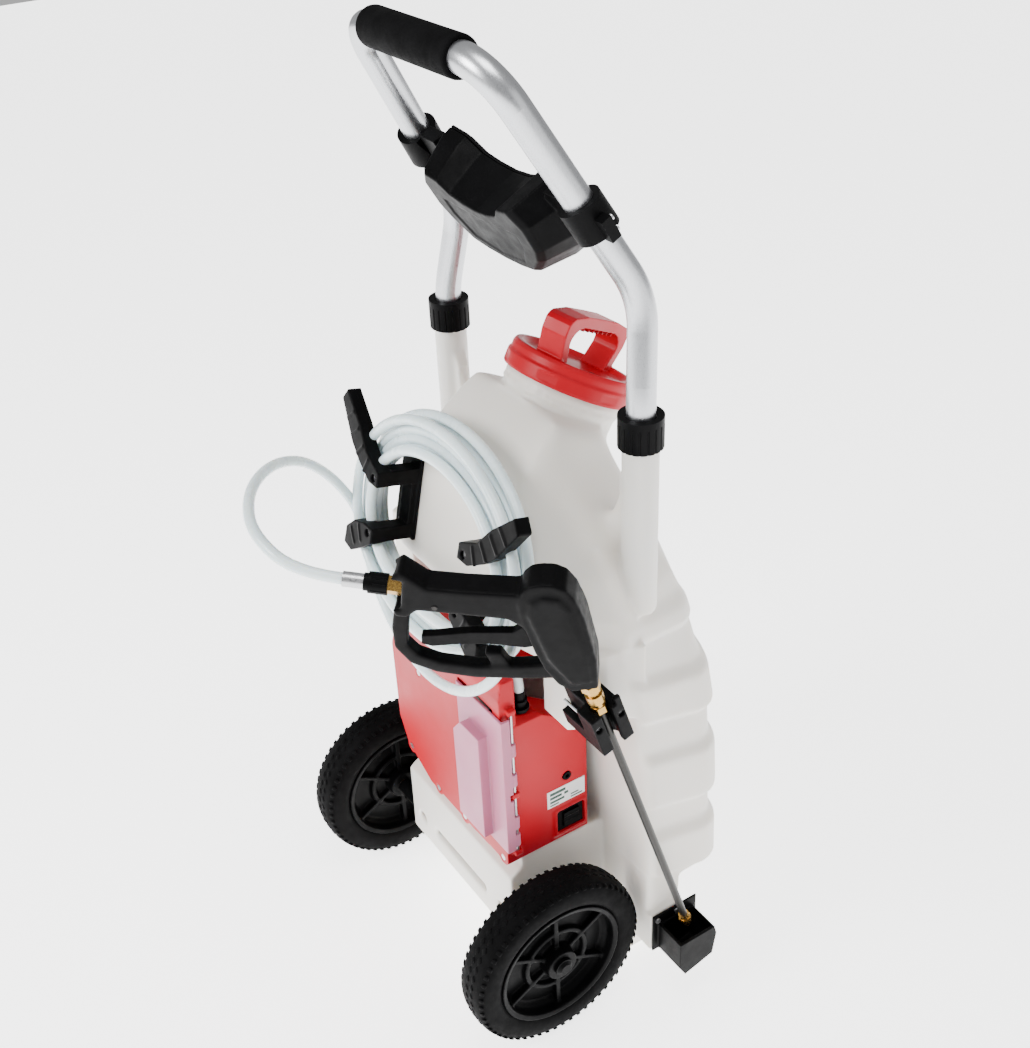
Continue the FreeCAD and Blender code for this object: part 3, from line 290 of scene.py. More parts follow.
LABEL = plastic("label", (0.80, 0.80, 0.80), (0.86, 0.86, 0.86), (0.3, 0.4), 900.0, 0.00002, 40.0)
INK = plastic("ink", (0.01, 0.05, 0.035), (0.015, 0.06, 0.045), (0.4, 0.5), 900.0, 0.00001, 40.0)
CASE = plastic("battery_case", (0.45, 0.40, 0.42), (0.5, 0.45, 0.47), (0.4, 0.5), 900.0, 0.0001, 30.0)
MESH = plastic("strainer_plastic", (0.74, 0.74, 0.72), (0.8, 0.8, 0.78), (0.4, 0.5), 900.0, 0.0001, 30.0)
TUBE = metal("tube_alloy", (0.46, 0.47, 0.49), (0.58, 0.59, 0.61), (0.26, 0.36), (8, 8, 0.4), 260.0)
STEEL = metal("steel", (0.42, 0.42, 0.43), (0.56, 0.56, 0.57), (0.25, 0.4))
LANCE = metal("lance_steel", (0.022, 0.021, 0.020), (0.040, 0.038, 0.036), (0.34, 0.46), (4, 4, 0.5), 300.0)
BRASS = metal("brass", (0.40, 0.23, 0.06), (0.52, 0.32, 0.09), (0.2, 0.34))
DOOR = frosted("frosted_door", (0.60, 0.20, 0.32), (0.66, 0.26, 0.38))

# ---- tank ---------------------------------------------------------------
NECK_LEAN = math.radians(29)
NECK_UP = Vector((0, -math.sin(NECK_LEAN), math.cos(NECK_LEAN)))
NECK_BACK = Vector((0, math.cos(NECK_LEAN), math.sin(NECK_LEAN)))
NECK = Vector((0, 57.7, 784.8))
CAP = frame_of(NECK, (1, 0, 0), NECK_BACK)
SOCKET_X, SOCKET_Y = 196, 85
# Each level is its height, then the corners of the half outline: front x, front y, side x, side y, back x, back y.
LEVELS = [
    (60, 218, -26, 208, 92, 150, 93),
    (110, 228, -27, 228, 92, 150, 93),
    (190, 232, -22, 232, 92, 150, 93),
    (320, 231, -18, 234, 98, 150, 104),
    (430, 221, -18, 234, 106, 150, 110),
    (505, 207, -12, 233, 112, 150, 113),
    (575, 180, -4, 230, 132, 150, 222),
    (620, 163, 3, 221, 132, 146, 213),
    (665, 143, 13, 196, 128, 138, 203),
    (710, 118, 26, 156, 124, 124, 193),
    (760, 92, 40, 112, 120, 104, 182),
    (850, 64, 60, 80, 112, 76, 160),
]
# Each rib is the end and the start of its upper slope, its lower edge, its rise at the front and the flank, its height.
RIBS = [(600, 575, 558, 40, 20, 5.0), (510, 490, 440, 72, 26, 9.0), (395, 375, 305, 36, 22, 9.0),
        (268, 245, 183, 22, 18, 9.0)]
# Each step of the front panel is its height at the shoulder and at the tip, its half width and its depth.
VEES = [(322, 243, 79, 9.0), (247, 175, 84, 7.0), (172, 96, 91, 4.0)]


def step(a, b, x):
    t = min(max((x - a) / (b - a), 0.0), 1.0)
    return t * t * (3 - 2 * t)


def level_at(z):
    for low, high in zip(LEVELS, LEVELS[1:]):
        if z <= high[0]:
            t = (z - low[0]) / (high[0] - low[0])
            return [a + (b - a) * t for a, b in zip(low, high)]
    return list(LEVELS[-1])


def loop_at(z, count):
    """Half outline at this height, from the middle of the front round to the middle of the back."""
    _, fx, fy, sx, sy, bx, by = level_at(z)
    corners = [Vector((0, fy)), Vector((fx, fy)), Vector((sx, sy)), Vector((bx, by)), Vector((0, by))]
    radii = [0, 34, 18 if z > 540 else 13, 14, 0]
    path = [corners[0]]
    for i in (1, 2, 3):
        p, q, r = corners[i - 1], corners[i], corners[i + 1]
        a, b = (p - q).normalized(), (r - q).normalized()
        half = a.angle(b) / 2
        reach = min(radii[i] / math.tan(half), 0.45 * (p - q).length, 0.45 * (r - q).length)
        for k in range(9):
            t = k / 8
            path.append((q + a * reach) * (1 - t) ** 2 + q * 2 * t * (1 - t) + (q + b * reach) * t * t)
    path.append(corners[4])
    ends = [0.0]
    for p, q in zip(path, path[1:]):
        ends.append(ends[-1] + (q - p).length)
    out = []
    j = 0
    for i in range(count):
        s = ends[-1] * i / (count - 1)
        while j < len(path) - 2 and ends[j + 1] < s:
            j += 1
        t = (s - ends[j]) / max(ends[j + 1] - ends[j], 1e-6)
        point = path[j].lerp(path[j + 1], min(t, 1.0))
        tangent = (path[j + 1] - path[j]).normalized()
        out.append((point, Vector((tangent.y, -tangent.x))))
    return out, fx, fy, sy


def relief(x, y, z, fx, fy, sy, front):
    """Height of the moulded ribs and of the stepped front panel at a point of the body."""
    x = abs(x)
    best = 0.0
    inward = max(fx - 10 - x, 0.0) if front else 0.0
    back = max(y - fy - 30, 0.0)
    for top, slope, low, rise_f, rise_s, height in RIBS:
        p = z - rise_f * min(inward / 82, 1.15) - rise_s * back / 75
        up = 1 - step(slope, top, p)
        down = step(low - 3, low + 3, p)
        value = height * up * down
        value *= step(132, 147, x) if front else 1.0
        value *= 1 - step(sy - 8, sy + 4, y)
        best = max(best, value)
    if front:
        for shoulder, tip, half, height in VEES:
            edge = tip + (shoulder - tip) * x / half
            if z > 600:
                half = half * math.sqrt(max(1 - ((z - 600) / 72) ** 2, 0.0))
            value = height * step(edge - 3, edge + 3, z) * (1 - step(half - 3, half + 3, x))
            if z < 676:
                best = max(best, value)
    return best


def tank_body():
    rows, half = 260, 120
    z0, z1 = 60.0, 850.0
    points, faces = [], []
    for r in range(rows):
        z = z0 + (z1 - z0) * r / (rows - 1)
        line, fx, fy, sy = loop_at(z, half)
        right = []
        for p, n in line:
            d = relief(p.x, p.y, z, fx, fy, sy, n.y < -0.5)
            right.append(Vector((p.x + n.x * d, p.y + n.y * d, z)))
        points += right + [Vector((-p.x, p.y, p.z)) for p in reversed(right[1:-1])]
    n = 2 * half - 2
    for r in range(rows - 1):
        for i in range(n):
            j = (i + 1) % n
            faces.append([r * n + i, r * n + j, (r + 1) * n + j, (r + 1) * n + i])
    faces.append(list(range(n))[::-1])
    faces.append([(rows - 1) * n + i for i in range(n)])
    return points, faces


def make_tank():
    up_cut = place(box(-300, 300, -300, 300, 0, 400), frame_of(NECK, (1, 0, 0), NECK_BACK))
    back_cut = prism([(-300, 120, 816), (-300, 196, 744), (-300, 300, 744), (-300, 300, 900), (-300, 120, 900)],
                     (600, 0, 0))
    plus = [merged("tank_core", [tank_body()], [up_cut, back_cut])]
    minus = []
    for side in (-1, 1):
        minus.append(prism([(side * 92, -80, 20), (side * 92, -80, 62), (side * 215, -80, 168),
                            (side * 280, -80, 196), (side * 280, -80, 20)], (0, 118, 0)))
        plus.append(prism([(side * 126, 42, 0), (side * 176, 42, 0), (side * 186, 40, 62), (side * 118, 40, 62)],
                          (0, 44, 0)))
    block = prism([(-133, 60, 84), (-133, 228, 70), (-133, 243, 92), (-133, 241, 203), (-133, 222.5, 216),
                   (-133, 222.5, 231.6), (-133, 60, 231.6)], (266, 0, 0))
    boss = prism([(-232, 100, 482), (-222, 150, 482), (-202, 192, 482), (-152, 192, 482), (-152, 100, 482)],
                 (0, 0, 104))
    plus += [block, boss, mirrored(boss), box(-236, -200, 42, 90, 62, 130), box(-188, 188, 38, 92, 56, 200)]
    plus.append(prism([(-68, -24, 0), (68, -24, 0), (88, -30, 64), (-88, -30, 64)], (0, 44, 0)))
    plus.append(disc(NECK - NECK_UP * 40, NECK_UP, 70, 85))
    plus.append(lathe([(60, 8), (72.5, 8), (73.5, 10), (72.5, 12), (60, 12)], NECK, NECK_UP))
    plus.append(lathe([(60, 17), (72, 17), (73, 19), (72, 21), (60, 21)], NECK, NECK_UP))
    for side in (-1, 1):
        x = side * SOCKET_X
        plus.append(disc((x, SOCKET_Y, 612), (0, 0, 1), 20.5, 234))
        plus.append(prism([(side * 120, 77, 640), (x, 77, 640), (x, 77, 806), (side * 181, 77, 806),
                           (side * 150, 77, 735)], (0, 16, 0)))
        minus.append(disc((x, SOCKET_Y, 641), (0, 0, 1), 17.2, 300))
    minus.append(disc((-140, 230, 127), (1, 0, 0), 6.5, 280))
    for x0, x1 in ((-112, -96), (-66, 66), (96, 112)):
        minus.append(box(x0, x1, 226, 260, 120.5, 133.5))
    minus.append(disc(NECK, NECK_UP, 62, 80))
    obj = solid("tank_shell", plus, minus, voxel=3.0, rounds=4)
    shoulder = obj.vertex_groups.new(name="shoulder")
    inverse = CAP.inverted()
    chosen = []
    for v in obj.data.vertices:
        p = v.co / MM
        q = inverse @ p
        on_neck = math.hypot(q.x, q.y) < 76 and q.z > -5
        if p.z > 560 and abs(p.x) < 168 and not on_neck:
            chosen.append(v.index)
    shoulder.add(chosen, 1.0, "REPLACE")
    smooth = obj.modifiers.new("soft_shoulder", "SMOOTH")
    smooth.vertex_group = "shoulder"
    smooth.factor = 0.5
    smooth.iterations = 260
    bake(obj)
    smooth_shade(obj)
    return obj


put(make_tank(), "cart", TANK, "hdpe", "tank")

# ---- cap ----------------------------------------------------------------
CAP_TURN = Matrix.Rotation(math.radians(-68), 4, "Z")


def make_cap():
    z = (0, 0, 1)
    plus = [lathe([(0, 50), (0, 47), (73.2, 47), (73.2, 25), (78, 25), (79, 27), (79, 42), (76.5, 45), (76.5, 52),
                   (74, 57), (67, 57), (60, 51.5), (50, 50)], (0, 0, 0), z, 96)]
    minus = [turned(box(77.8, 84, -23, 23, 28.5, 40), i * 60 + 10) for i in range(6)]
    arch = [(-64, 48), (64, 48), (77, 84), (77, 98), (74, 103), (68, 107), (40, 111.5), (0, 112), (-40, 111.5),
            (-68, 107), (-74, 103), (-77, 98), (-77, 84)]
    plus.append(prism([(x, -17, h) for x, h in arch], (0, 34, 0)))
    gap = [(-48, 50.6), (48, 50.6), (60, 78), (59.5, 84), (56, 90), (50, 95), (40, 98), (-40, 98), (-50, 95),
           (-56, 90), (-59.5, 84), (-60, 78)]
    minus.append(prism([(x, -30, h) for x, h in gap], (0, 60, 0)))
    ribs = [box(x - 1.2, x + 1.2, -15, 15, 93, 100) for x in (-36, -24, -12, 0, 12, 24, 36)]
    minus.append(disc((0, -27, 40), z, 4.1, 30, steps=32))
    obj = solid("cap_red", [merged("cap_shell", plus, minus)] + ribs, voxel=1.1, rounds=4)
    carry(obj, CAP @ CAP_TURN)
    return obj


put(make_cap(), "cap", RED, "red_plastic", "cap")


# ---- wheels -------------------------------------------------------------
WHEEL = {"left": Vector((-205, 230, 127)), "right": Vector((205, 230, 127))}
TREAD_BLOCKS = 54
EDGE_BLOCKS = 60


def add_block(mesh, verts):
    """Close eight points, four inner and four outer, into a block."""
    mesh.faces.new(verts[:4])
    mesh.faces.new(verts[4:])
    for k in range(4):
        mesh.faces.new([verts[k], verts[(k + 1) % 4], verts[4 + (k + 1) % 4], verts[4 + k]])


def make_tyre(side):
    half = 27.0
    profile = [(90, -half + 5), (96, -half + 1), (102, -half), (112, -half + 0.2), (118, -half + 2.5),
               (122, -half + 6), (124.6, -half + 11), (125.4, -6), (125.4, 6), (124.6, half - 11), (122, half - 6),
               (118, half - 2.5), (112, half - 0.2), (102, half), (96, half - 1), (90, half - 5)]
    obj = raw_object("tyre_" + side, lathe(profile, (0, 0, 0), (1, 0, 0), 180))
    blocks = bmesh.new()
    wide = 9.4
    for i in range(TREAD_BLOCKS):
        for x, shift in ((-15.5, 0), (-5.2, 0.5), (5.2, 0), (15.5, 0.5)):
            a = 2 * math.pi * (i + shift) / TREAD_BLOCKS
            r = 125.0 if abs(x) < 10 else 123.6
            verts = []
            for lift, grow in ((-1.5, 1.0), (1.3, 0.84)):
                for dx, da in ((-wide / 2, 0), (0, -7.2 / r), (wide / 2, 0), (0, 7.2 / r)):
                    rr = (r + lift) if abs(x) < 10 else r + lift - max(0.0, (abs(x + dx * grow) - 15.5)) * 0.5
                    verts.append(blocks.verts.new(((x + dx * grow) * MM,
                                                   rr * math.cos(a + da * grow) * MM,
                                                   rr * math.sin(a + da * grow) * MM)))
            add_block(blocks, verts)
    for i in range(EDGE_BLOCKS):
        for x in (-23.0, 23.0):
            a = 2 * math.pi * i / EDGE_BLOCKS
            verts = []
            for lift in (-1.5, 0.7):
                for dx, da in ((-2.5, -0.018), (3.0, -0.026), (3.0, 0.022), (-2.5, 0.03)):
                    xx = x + (dx if x < 0 else -dx)
                    rr = 121.8 + lift + (1.0 if abs(xx) < 22 else -1.6)
                    verts.append(blocks.verts.new((xx * MM, rr * math.cos(a + da) * MM, rr * math.sin(a + da) * MM)))
            add_block(blocks, verts)
    bmesh.ops.recalc_face_normals(blocks, faces=blocks.faces)
    blocks.from_mesh(obj.data)
    bmesh.ops.recalc_face_normals(blocks, faces=blocks.faces)
    blocks.to_mesh(obj.data)
    blocks.free()
    bevel = obj.modifiers.new("bevel", "BEVEL")
    bevel.width = 0.5 * MM
    bevel.limit_method = "ANGLE"
    bevel.angle_limit = math.radians(40)
    bake(obj)
    smooth_shade(obj)
    obj.data.transform(Matrix.Translation(WHEEL[side] * MM))
    return obj


def make_rim(side):
    profile = [(9.3, -27), (22, -27), (22, -24), (24, -8), (40, -6), (42, -14), (48, -14), (50, -6), (76, -4),
               (82, -12), (83, -24), (90, -26), (90, 26), (83, 24), (82, 14), (76, 4), (50, 4), (48, 12), (42, 12),
               (40, 4), (24, 6), (22, 24), (22, 27), (9.3, 27)]
    plus = [lathe(profile, (0, 0, 0), (1, 0, 0), 96)]
    for i in range(6):
        plus.append(turned(box(-15, 15, -3, 3, 20, 84), i * 60, "X"))
    obj = solid("rim_" + side + "_moulded", plus, voxel=1.5, rounds=3)
    obj.data.transform(Matrix.Translation(WHEEL[side] * MM))
    return obj


for side in ("left", "right"):
    put(make_tyre(side), "wheel_" + side, TYRE, "tyre_rubber", "tyre_" + side)
    put(make_rim(side), "wheel_" + side, BLACK, "black_plastic", "rim_" + side)


# ---- pump housing -------------------------------------------------------
LUGS = ((-124, 240), (-29, 236), (39, 236), (109, 262))


def housing_outline(y, k):
    return [(-136 + k, y, 236 + k), (-60, y, 232 + k), (60, y, 232 + k), (118 - k, y, 262 + k), (136 - k, y, 300),
            (136 - k, y, 428 - k), (118 - k, y, 476 - k), (84, y, 508 - k), (-60, y, 508 - k), (-96 + k, y, 484 - k),
            (-136 + k, y, 458 - k)]


def make_housing():
    outer = prism(housing_outline(118.5, 0), (0, 126.5, 0))
    inner = prism(housing_outline(112, 3.2), (0, 129.5, 0))
    top = prism([(-200, 110, 408), (-200, 190, 462), (-200, 250, 470), (-200, 250, 540), (-200, 110, 540)],
                (110, 0, 0))
    top_in = place(top, Matrix.Translation((0, 0, -3.2)))
    hollow = merged("housing_hollow", [merged("housing_wall", [outer], [top])],
                    [merged("housing_core", [inner], [top_in])])
    ridge = prism([(-136, 222, 462), (-136, 245, 462), (-136, 245, 505), (-136, 241, 532), (-136, 222, 532)],
                  (220, 0, 0))
    fall = prism([(-96, 210, 532), (86, 210, 508), (86, 210, 560), (-96, 210, 560)], (0, 40, 0))
    plus = [hollow, merged("upstand", [ridge], [fall])]
    plus += [disc((x, 225, z), (0, 1, 0), 11, 20, steps=40) for x, z in LUGS]
    plus.append(box(-139, -126, 122, 172, 244, 290))
    plus += [box(-145, -135, 226, 238, z, z + 8) for z in (253, 352, 485)]
    minus = [box(-120, -40, 221, 247, 262, 484)]
    for x, z in (*LUGS, (66, 420)):
        minus.append(disc((x, 242, z), (0, 1, 0), 5.2, 10, steps=32))
        minus.append(disc((x, 220, z), (0, 1, 0), 2.6, 30, steps=24))
    minus += [box(-146, -132, 126, 168, 248, 286), box(-140, -122, 133, 159, 254, 280),
              disc((-138, 151, 340), (1, 0, 0), 6.1, 12, steps=32), disc((-118, 205, 440), (0, 0, 1), 8.1, 60)]
    return solid("pump_housing_shell", plus, minus, voxel=1.6, rounds=3)


put(make_housing(), "cart", RED, "red_plastic", "pump_housing")


def make_door():
    y1 = 249.0
    plus = [box(-145, -42, 245.5, y1, 265, 481),
            prism([(-112, y1 - 1, 276), (-52, y1 - 1, 276), (-52, y1 - 1, 418), (-70, y1 - 1, 440),
                   (-112, y1 - 1, 440)], (0, 15, 0)),
            box(-145, -142, 236, y1, 265, 481)]
    for z in (270, 300, 372, 420):
        plus.append(disc((-140.5, 232, z), (0, 0, 1), 4.2, 20, steps=24))
        plus.append(box(-144.7, -142, 231, 240, z, z + 20))
    minus = [prism([(-110, y1 - 6, 278), (-54, y1 - 6, 278), (-54, y1 - 6, 417), (-71, y1 - 6, 438),
                    (-110, y1 - 6, 438)], (0, 18, 0)),
             box(-150, -130, 225, 241, 350.5, 361.5)]
    return solid("battery_door_panel", plus, minus, voxel=0.9, rounds=2)


put(make_door(), "battery_door", DOOR, "frosted_door", "battery_door")

# ---- handle grip and tray -----------------------------------------------
profile = [(16.1, -85), (19, -85), (20.4, -84), (21, -81), (21, 81), (20.4, 84), (19, 85), (16.1, 85)]
grip = solid("handle_grip", [lathe(profile, (0, 211, 1224), (1, 0, 0), 96)], voxel=0)
put(grip, "handle", FOAM, "grip_rubber", "grip")

LEAN = Vector((0, 141, 241)).normalized()
TRAY = frame_of((0, 70 + 141 * (1069 - 983) / 241, 1069), (1, 0, 0), LEAN)


def tray_outline(k):
    """Half-moon outline of the tray, drawn in by k."""
    right = [(100 - k, 29 - k), (120 - k, 6), (119 - k, -32 + k), (106 - 0.8 * k, -54 + k), (74, -84 + k),
             (40, -90 + k), (0, -92 + k)]
    left = [(-x, y) for x, y in reversed(right[:-1])]
    dip = [(-72, 24 - k), (-54, 6 - k), (-28, -1 - k), (0, -4 - k), (28, -1 - k), (54, 6 - k), (72, 24 - k)]
    return right + left + dip


def tray_prism(k, z0, z1):
    return prism([(x, y, z0) for x, y in tray_outline(k)], (0, 0, z1 - z0))


def bin_shape(k, z0, z1):
    """Bin outline that narrows towards the rear."""
    points, n = [], len(tray_outline(0))
    for z, s in ((z0, 0.8), (z0 + 6, 0.86), (2, 0.99), (z1, 1.0)):
        points += [Vector((x * s, (y + 10) * s - 10, z)) for x, y in tray_outline(k)]
    faces = [list(range(n))[::-1], [3 * n + i for i in range(n)]]
    for r in range(3):
        faces += [[r * n + i, r * n + (i + 1) % n, (r + 1) * n + (i + 1) % n, (r + 1) * n + i] for i in range(n)]
    return points, faces


def make_tray_box():
    plus = [bin_shape(0, -44, 16), box(106, 138, -2, 26, -8, 10), box(-138, -106, -2, 26, -8, 10)]
    for s in (-1, 1):
        x0, x1 = sorted((s * 28.4, s * 33))
        plus.append(box(x0, x1, -97.5, -86, 6, 15.9))
        plus.append(box(x0, x1, -97.5, -92.2, 15, 22))
    minus = [bin_shape(3, -41, 30), box(-29, 29, -100, -88, 10, 24),
             prism([(-72, -12, -45), (0, -18, -45), (72, -12, -45), (70, -34, -45), (50, -62, -45), (0, -70, -45),
                    (-50, -62, -45), (-70, -34, -45)], (0, 0, 2.6))]
    obj = solid("tray_bin", plus, minus, voxel=1.3, rounds=4)
    carry(obj, TRAY)
    return obj


def make_tray_cover():
    plus = [tray_prism(0.3, 16.4, 20.4), tray_prism(6, 20, 22.0), tray_prism(16, 21, 23.4)]
    minus = [disc((0, -33, 0), (0, 0, 1), 11.2, 40), disc((0, -33, 21.6), (0, 0, 1), 16, 10),
             box(-18, 18, -72, -68, 10, 30)]
    plus.append(disc((-28, -93.5, 18.4), (1, 0, 0), 3, 56, steps=24))
    for x in (-8, 0, 8):
        minus.append(box(x - 2, x + 2, -17, -11, 19, 30))
    obj = solid("tray_lid", plus, minus, voxel=1.0, rounds=3)
    carry(obj, TRAY)
    return obj


put(make_tray_box(), "handle", BLACK, "black_plastic", "tray_box")
put(make_tray_cover(), "tray_cover", BLACK, "black_plastic", "tray_cover")


# ---- hooks --------------------------------------------------------------
BACK_LEAN = math.radians(12.8)
SLOPE = Vector((0, -math.sin(BACK_LEAN), math.cos(BACK_LEAN)))
HOOK = frame_of((0, 205.6, 655), (1, 0, 0), SLOPE)


def make_hook(side):
    plus = [box(92, 136, -52, 66, -5, 0), box(94, 118, -46, 44, -13, -4), box(93, 114, 27, 47, -60, -2),
            box(93, 114, -49, -29, -60, -2),
            prism([(93, 27, -64), (114, 27, -64), (142, 43, -64), (163, 60, -64), (197, 105, -64), (186, 120, -64),
                   (148, 88, -64), (126, 62, -64), (93, 47, -64)], (0, 0, 19)),
            prism([(93, -29, -64), (114, -29, -64), (138, -36, -64), (156, -52, -64), (158, -76, -64),
                   (140, -80, -64), (118, -66, -64), (93, -49, -64)], (0, 0, 19))]
    for x, y, turn in ((124, 44, 25), (141, 58, 42), (157, 75, 48), (171, 92, 50), (122, -46, -24), (138, -57, -34)):
        rib = box(-1.3, 1.3, -11, 11, -65.5, -62)
        plus.append(place(rib, Matrix.Translation((x, y, 0)) @ Matrix.Rotation(math.radians(turn), 4, "Z")))
    minus = [disc((104, y, -57), (0, 0, -1), 5.0, 20, steps=32) for y in (36, -38)]
    if side == "left":
        plus = [mirrored(p) for p in plus]
        minus = [mirrored(p) for p in minus]
    obj = solid("hook_" + side, plus, minus, voxel=1.2, rounds=4)
    carry(obj, HOOK)
    return obj


for side in ("left", "right"):
    put(make_hook(side), "cart", BLACK, "black_plastic", "hose_hook_" + side)

# ---- gun and holders ----------------------------------------------------
DOWN = Vector((0.008, -0.305, -0.952)).normalized()
GUN_AT = Vector((-262, 235, 700))
GUN = frame_of(GUN_AT, DOWN, (0.660, 0.717, -0.224))
HOLD = frame_of(GUN_AT, DOWN, (1, 0, 0))
GUN_BODY = [(-70, 6), (-67, -8), (-58, -19), (-40, -25), (-10, -27), (58, -22), (98, -13), (99, 15), (84, 28),
            (60, 35), (30, 38), (-4, 38), (-46, 34), (-62, 26), (-69, 16)]
GUN_CORE = [(-54, 6), (-48, -10), (-30, -17), (40, -16), (84, -9), (84, 12), (40, 26), (-30, 28), (-48, 20)]
GUN_GRIP = [(-52, 10), (-72, 84), (-84, 120), (-112, 138), (-104, 152), (-86, 164), (-50, 166), (-46, 154),
            (-54, 140), (-42, 105), (-24, 52), (-4, 36), (-6, 12)]
GUN_GUARD = [(60, 30), (84, 30), (80, 60), (68, 118), (52, 156), (32, 180), (4, 188), (-26, 180), (-52, 168),
             (-50, 150), (-24, 162), (2, 172), (20, 166), (36, 146), (50, 110), (58, 60)]
INLET = Vector((-56, 143, 0)).normalized()


def slab(line, half):
    """Side outline of the gun, drawn out to both sides of its middle plane."""
    return prism([(a, b, -half) for a, b in line], (0, 0, 2 * half))


def make_gun():
    shapes = [slab(GUN_BODY, 17), slab(GUN_CORE, 20.5), slab(GUN_GRIP, 15), slab(GUN_GUARD, 8.5),
              slab([(34, 78), (56, 74), (56, 94), (30, 96)], 7)]
    minus = [slab([(-8, 4), (44, 4), (44, 52), (-8, 52)], 5.6),
             disc(Vector((-20, 0, 0)) + INLET * 160, INLET, 26, 60)]
    obj = solid("gun_shell", shapes, minus, voxel=1.3, rounds=30, factor=0.6)
    carry(obj, GUN)
    return obj


put(make_gun(), "cart", SHELL, "black_plastic", "gun_shell_front", "gun_shell_back")


def make_trigger():
    line = [(-4, 14), (22, 12), (30, 30), (32, 50), (20, 84), (14, 118), (12, 148), (6, 158), (-6, 154), (-4, 138),
            (-2, 100), (6, 56), (-2, 40)]
    obj = solid("trigger_blade", [slab(line, 5)], voxel=0.8, rounds=5)
    carry(obj, GUN)
    return obj


put(make_trigger(), "trigger", SHELL, "black_plastic", "trigger")


def make_clip():
    block = box(146, 206, -15, 58, -22, 22)
    plus = [place(block, HOLD), place(box(136, 150, -15, -10, 14, 22), HOLD)]
    boss = prism([(-232.1, 99, 481.9), (-222.1, 150, 481.9), (-202, 192.1, 481.9), (-152, 192.1, 481.9),
                  (-152, 99, 481.9)], (0, 0, 104.2))
    minus = [place(disc((140, 0, 0), (1, 0, 0), 10.4, 80), HOLD), place(box(140, 210, -26, 0, -7.5, 7.5), HOLD),
             place(box(140, 182, 14, 80, -40, -9), HOLD), boss, box(-201, -150, 80, 240, 440, 620)]
    for z in (-16, 16):
        p = HOLD @ Vector((164, -8, z))
        minus.append(disc(p - Vector((30, 0, 0)), (1, 0, 0), 4.2, 30, steps=32))
    return solid("lance_holder", plus, minus, voxel=1.0, rounds=4)


put(make_clip(), "cart", BLACK, "black_plastic", "lance_clip")


def make_cup():
    plus = [prism([(-286, 24, 62), (-286, 70, 50), (-286, 80, 68), (-286, 80, 112), (-286, 22, 112),
                   (-286, 18, 98)], (47, 0, 0)), box(-239.4, -236.1, 16, 89, 64, 128)]
    minus = [prism([(-282, 28, 66), (-282, 68, 55), (-282, 76, 70), (-282, 76, 130), (-282, 26, 130),
                    (-282, 22, 98)], (39.5, 0, 0))]
    return solid("nozzle_cup", plus, minus, voxel=1.0, rounds=4)


put(make_cup(), "cart", BLACK, "black_plastic", "foot_cup")

# ---- hose ---------------------------------------------------------------
LEAD = [(-118, 205, 494), (-118, 205, 516), (-115, 214, 547), (-106.3, 231, 569.6), (-86.4, 245.4, 590),
        (-60.4, 254.5, 601.7), (-28.3, 257.5, 605.6), (3, 257.5, 598), (33, 255.5, 586), (64, 255.5, 579),
        (95, 256, 583)]
TAIL = [(-126.4, 414.0, 749.8), (-95.8, 453.0, 756.7), (-40, 470, 779), (16, 452, 784), (68, 418, 779),
        (112, 374, 764), (144, 328, 735), (162, 290, 692), (172, 264, 648), (176, 251, 616)]
COIL = frame_of((-7, 234, 655), (1, 0, 0), SLOPE)
TURNS = 9
PER_TURN = 18
HOSE_MM = 13.0


def coil_point(t):
    """Middle of the hose t turns from the lead, anticlockwise as seen from behind.

    The turns widen, narrow and widen again, and lie in three layers; the bottom of the oval is drawn up a little.
    """
    angle = math.radians(-48) + 2 * math.pi * t
    if t < 3.5:
        a = 141 + 12.9 * t + 9 * step(0.0, 0.05, t) * (1 - step(0.05, 0.3, t))
    elif t < 6.9:
        a = 186.15 - 9 * step(3.5, 3.9, t) - 11.9 * (t - 3.5)
    else:
        a = 136.7 + 57.5 * step(6.9, 8.95, t)
    depth = -5.5 + 12.2 * step(0.0, 0.5, t) - 13.4 * step(3.4, 3.8, t) - 13.2 * step(6.5, 6.95, t)
    depth += 18 * step(8.6, 8.98, t) - 8 * step(5.85, 6.0, t) * (1 - step(6.1, 6.3, t))
    a += 1.6 * math.sin(2 * angle + 0.7) + 1.1 * math.sin(3 * angle) + 0.5 * math.sin(4.3 * t)
    low = max(0.0, -math.sin(angle)) ** 2
    lift = 22 * step(0.3, 0.5, t) * (1 - step(8.2, 8.5, t))
    return COIL @ Vector((a * math.cos(angle), (a - 32) * math.sin(angle) + (lift - 0.14 * (a - 140)) * low, depth))


def make_hose():
    route = [Vector(p) for p in LEAD]
    for i in range(1, TURNS * PER_TURN + 1):
        route.append(coil_point(i / PER_TURN))
    route += [coil_point(TURNS + 0.032), coil_point(TURNS + 0.062)]
    route += [Vector(p) for p in reversed(TAIL)]
    curve = bpy.data.curves.new("spray_hose", "CURVE")
    curve.dimensions = "3D"
    spline = curve.splines.new("NURBS")
    spline.points.add(len(route) - 1)
    for point, place_mm in zip(spline.points, route):
        point.co = (*(place_mm * MM), 1)
    spline.order_u = 3
    spline.use_endpoint_u = True
    spline.resolution_u = 6
    curve.bevel_depth = HOSE_MM / 2 * MM
    curve.bevel_resolution = 6
    curve.use_fill_caps = True
    obj = bpy.data.objects.new("spray_hose", curve)
    bpy.context.scene.collection.objects.link(obj)
    return obj


hose = make_hose()
hose.data.materials.append(HOSE)
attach(hose, "cart")
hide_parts("hose_coil", "hose_tail", "hose_lead")

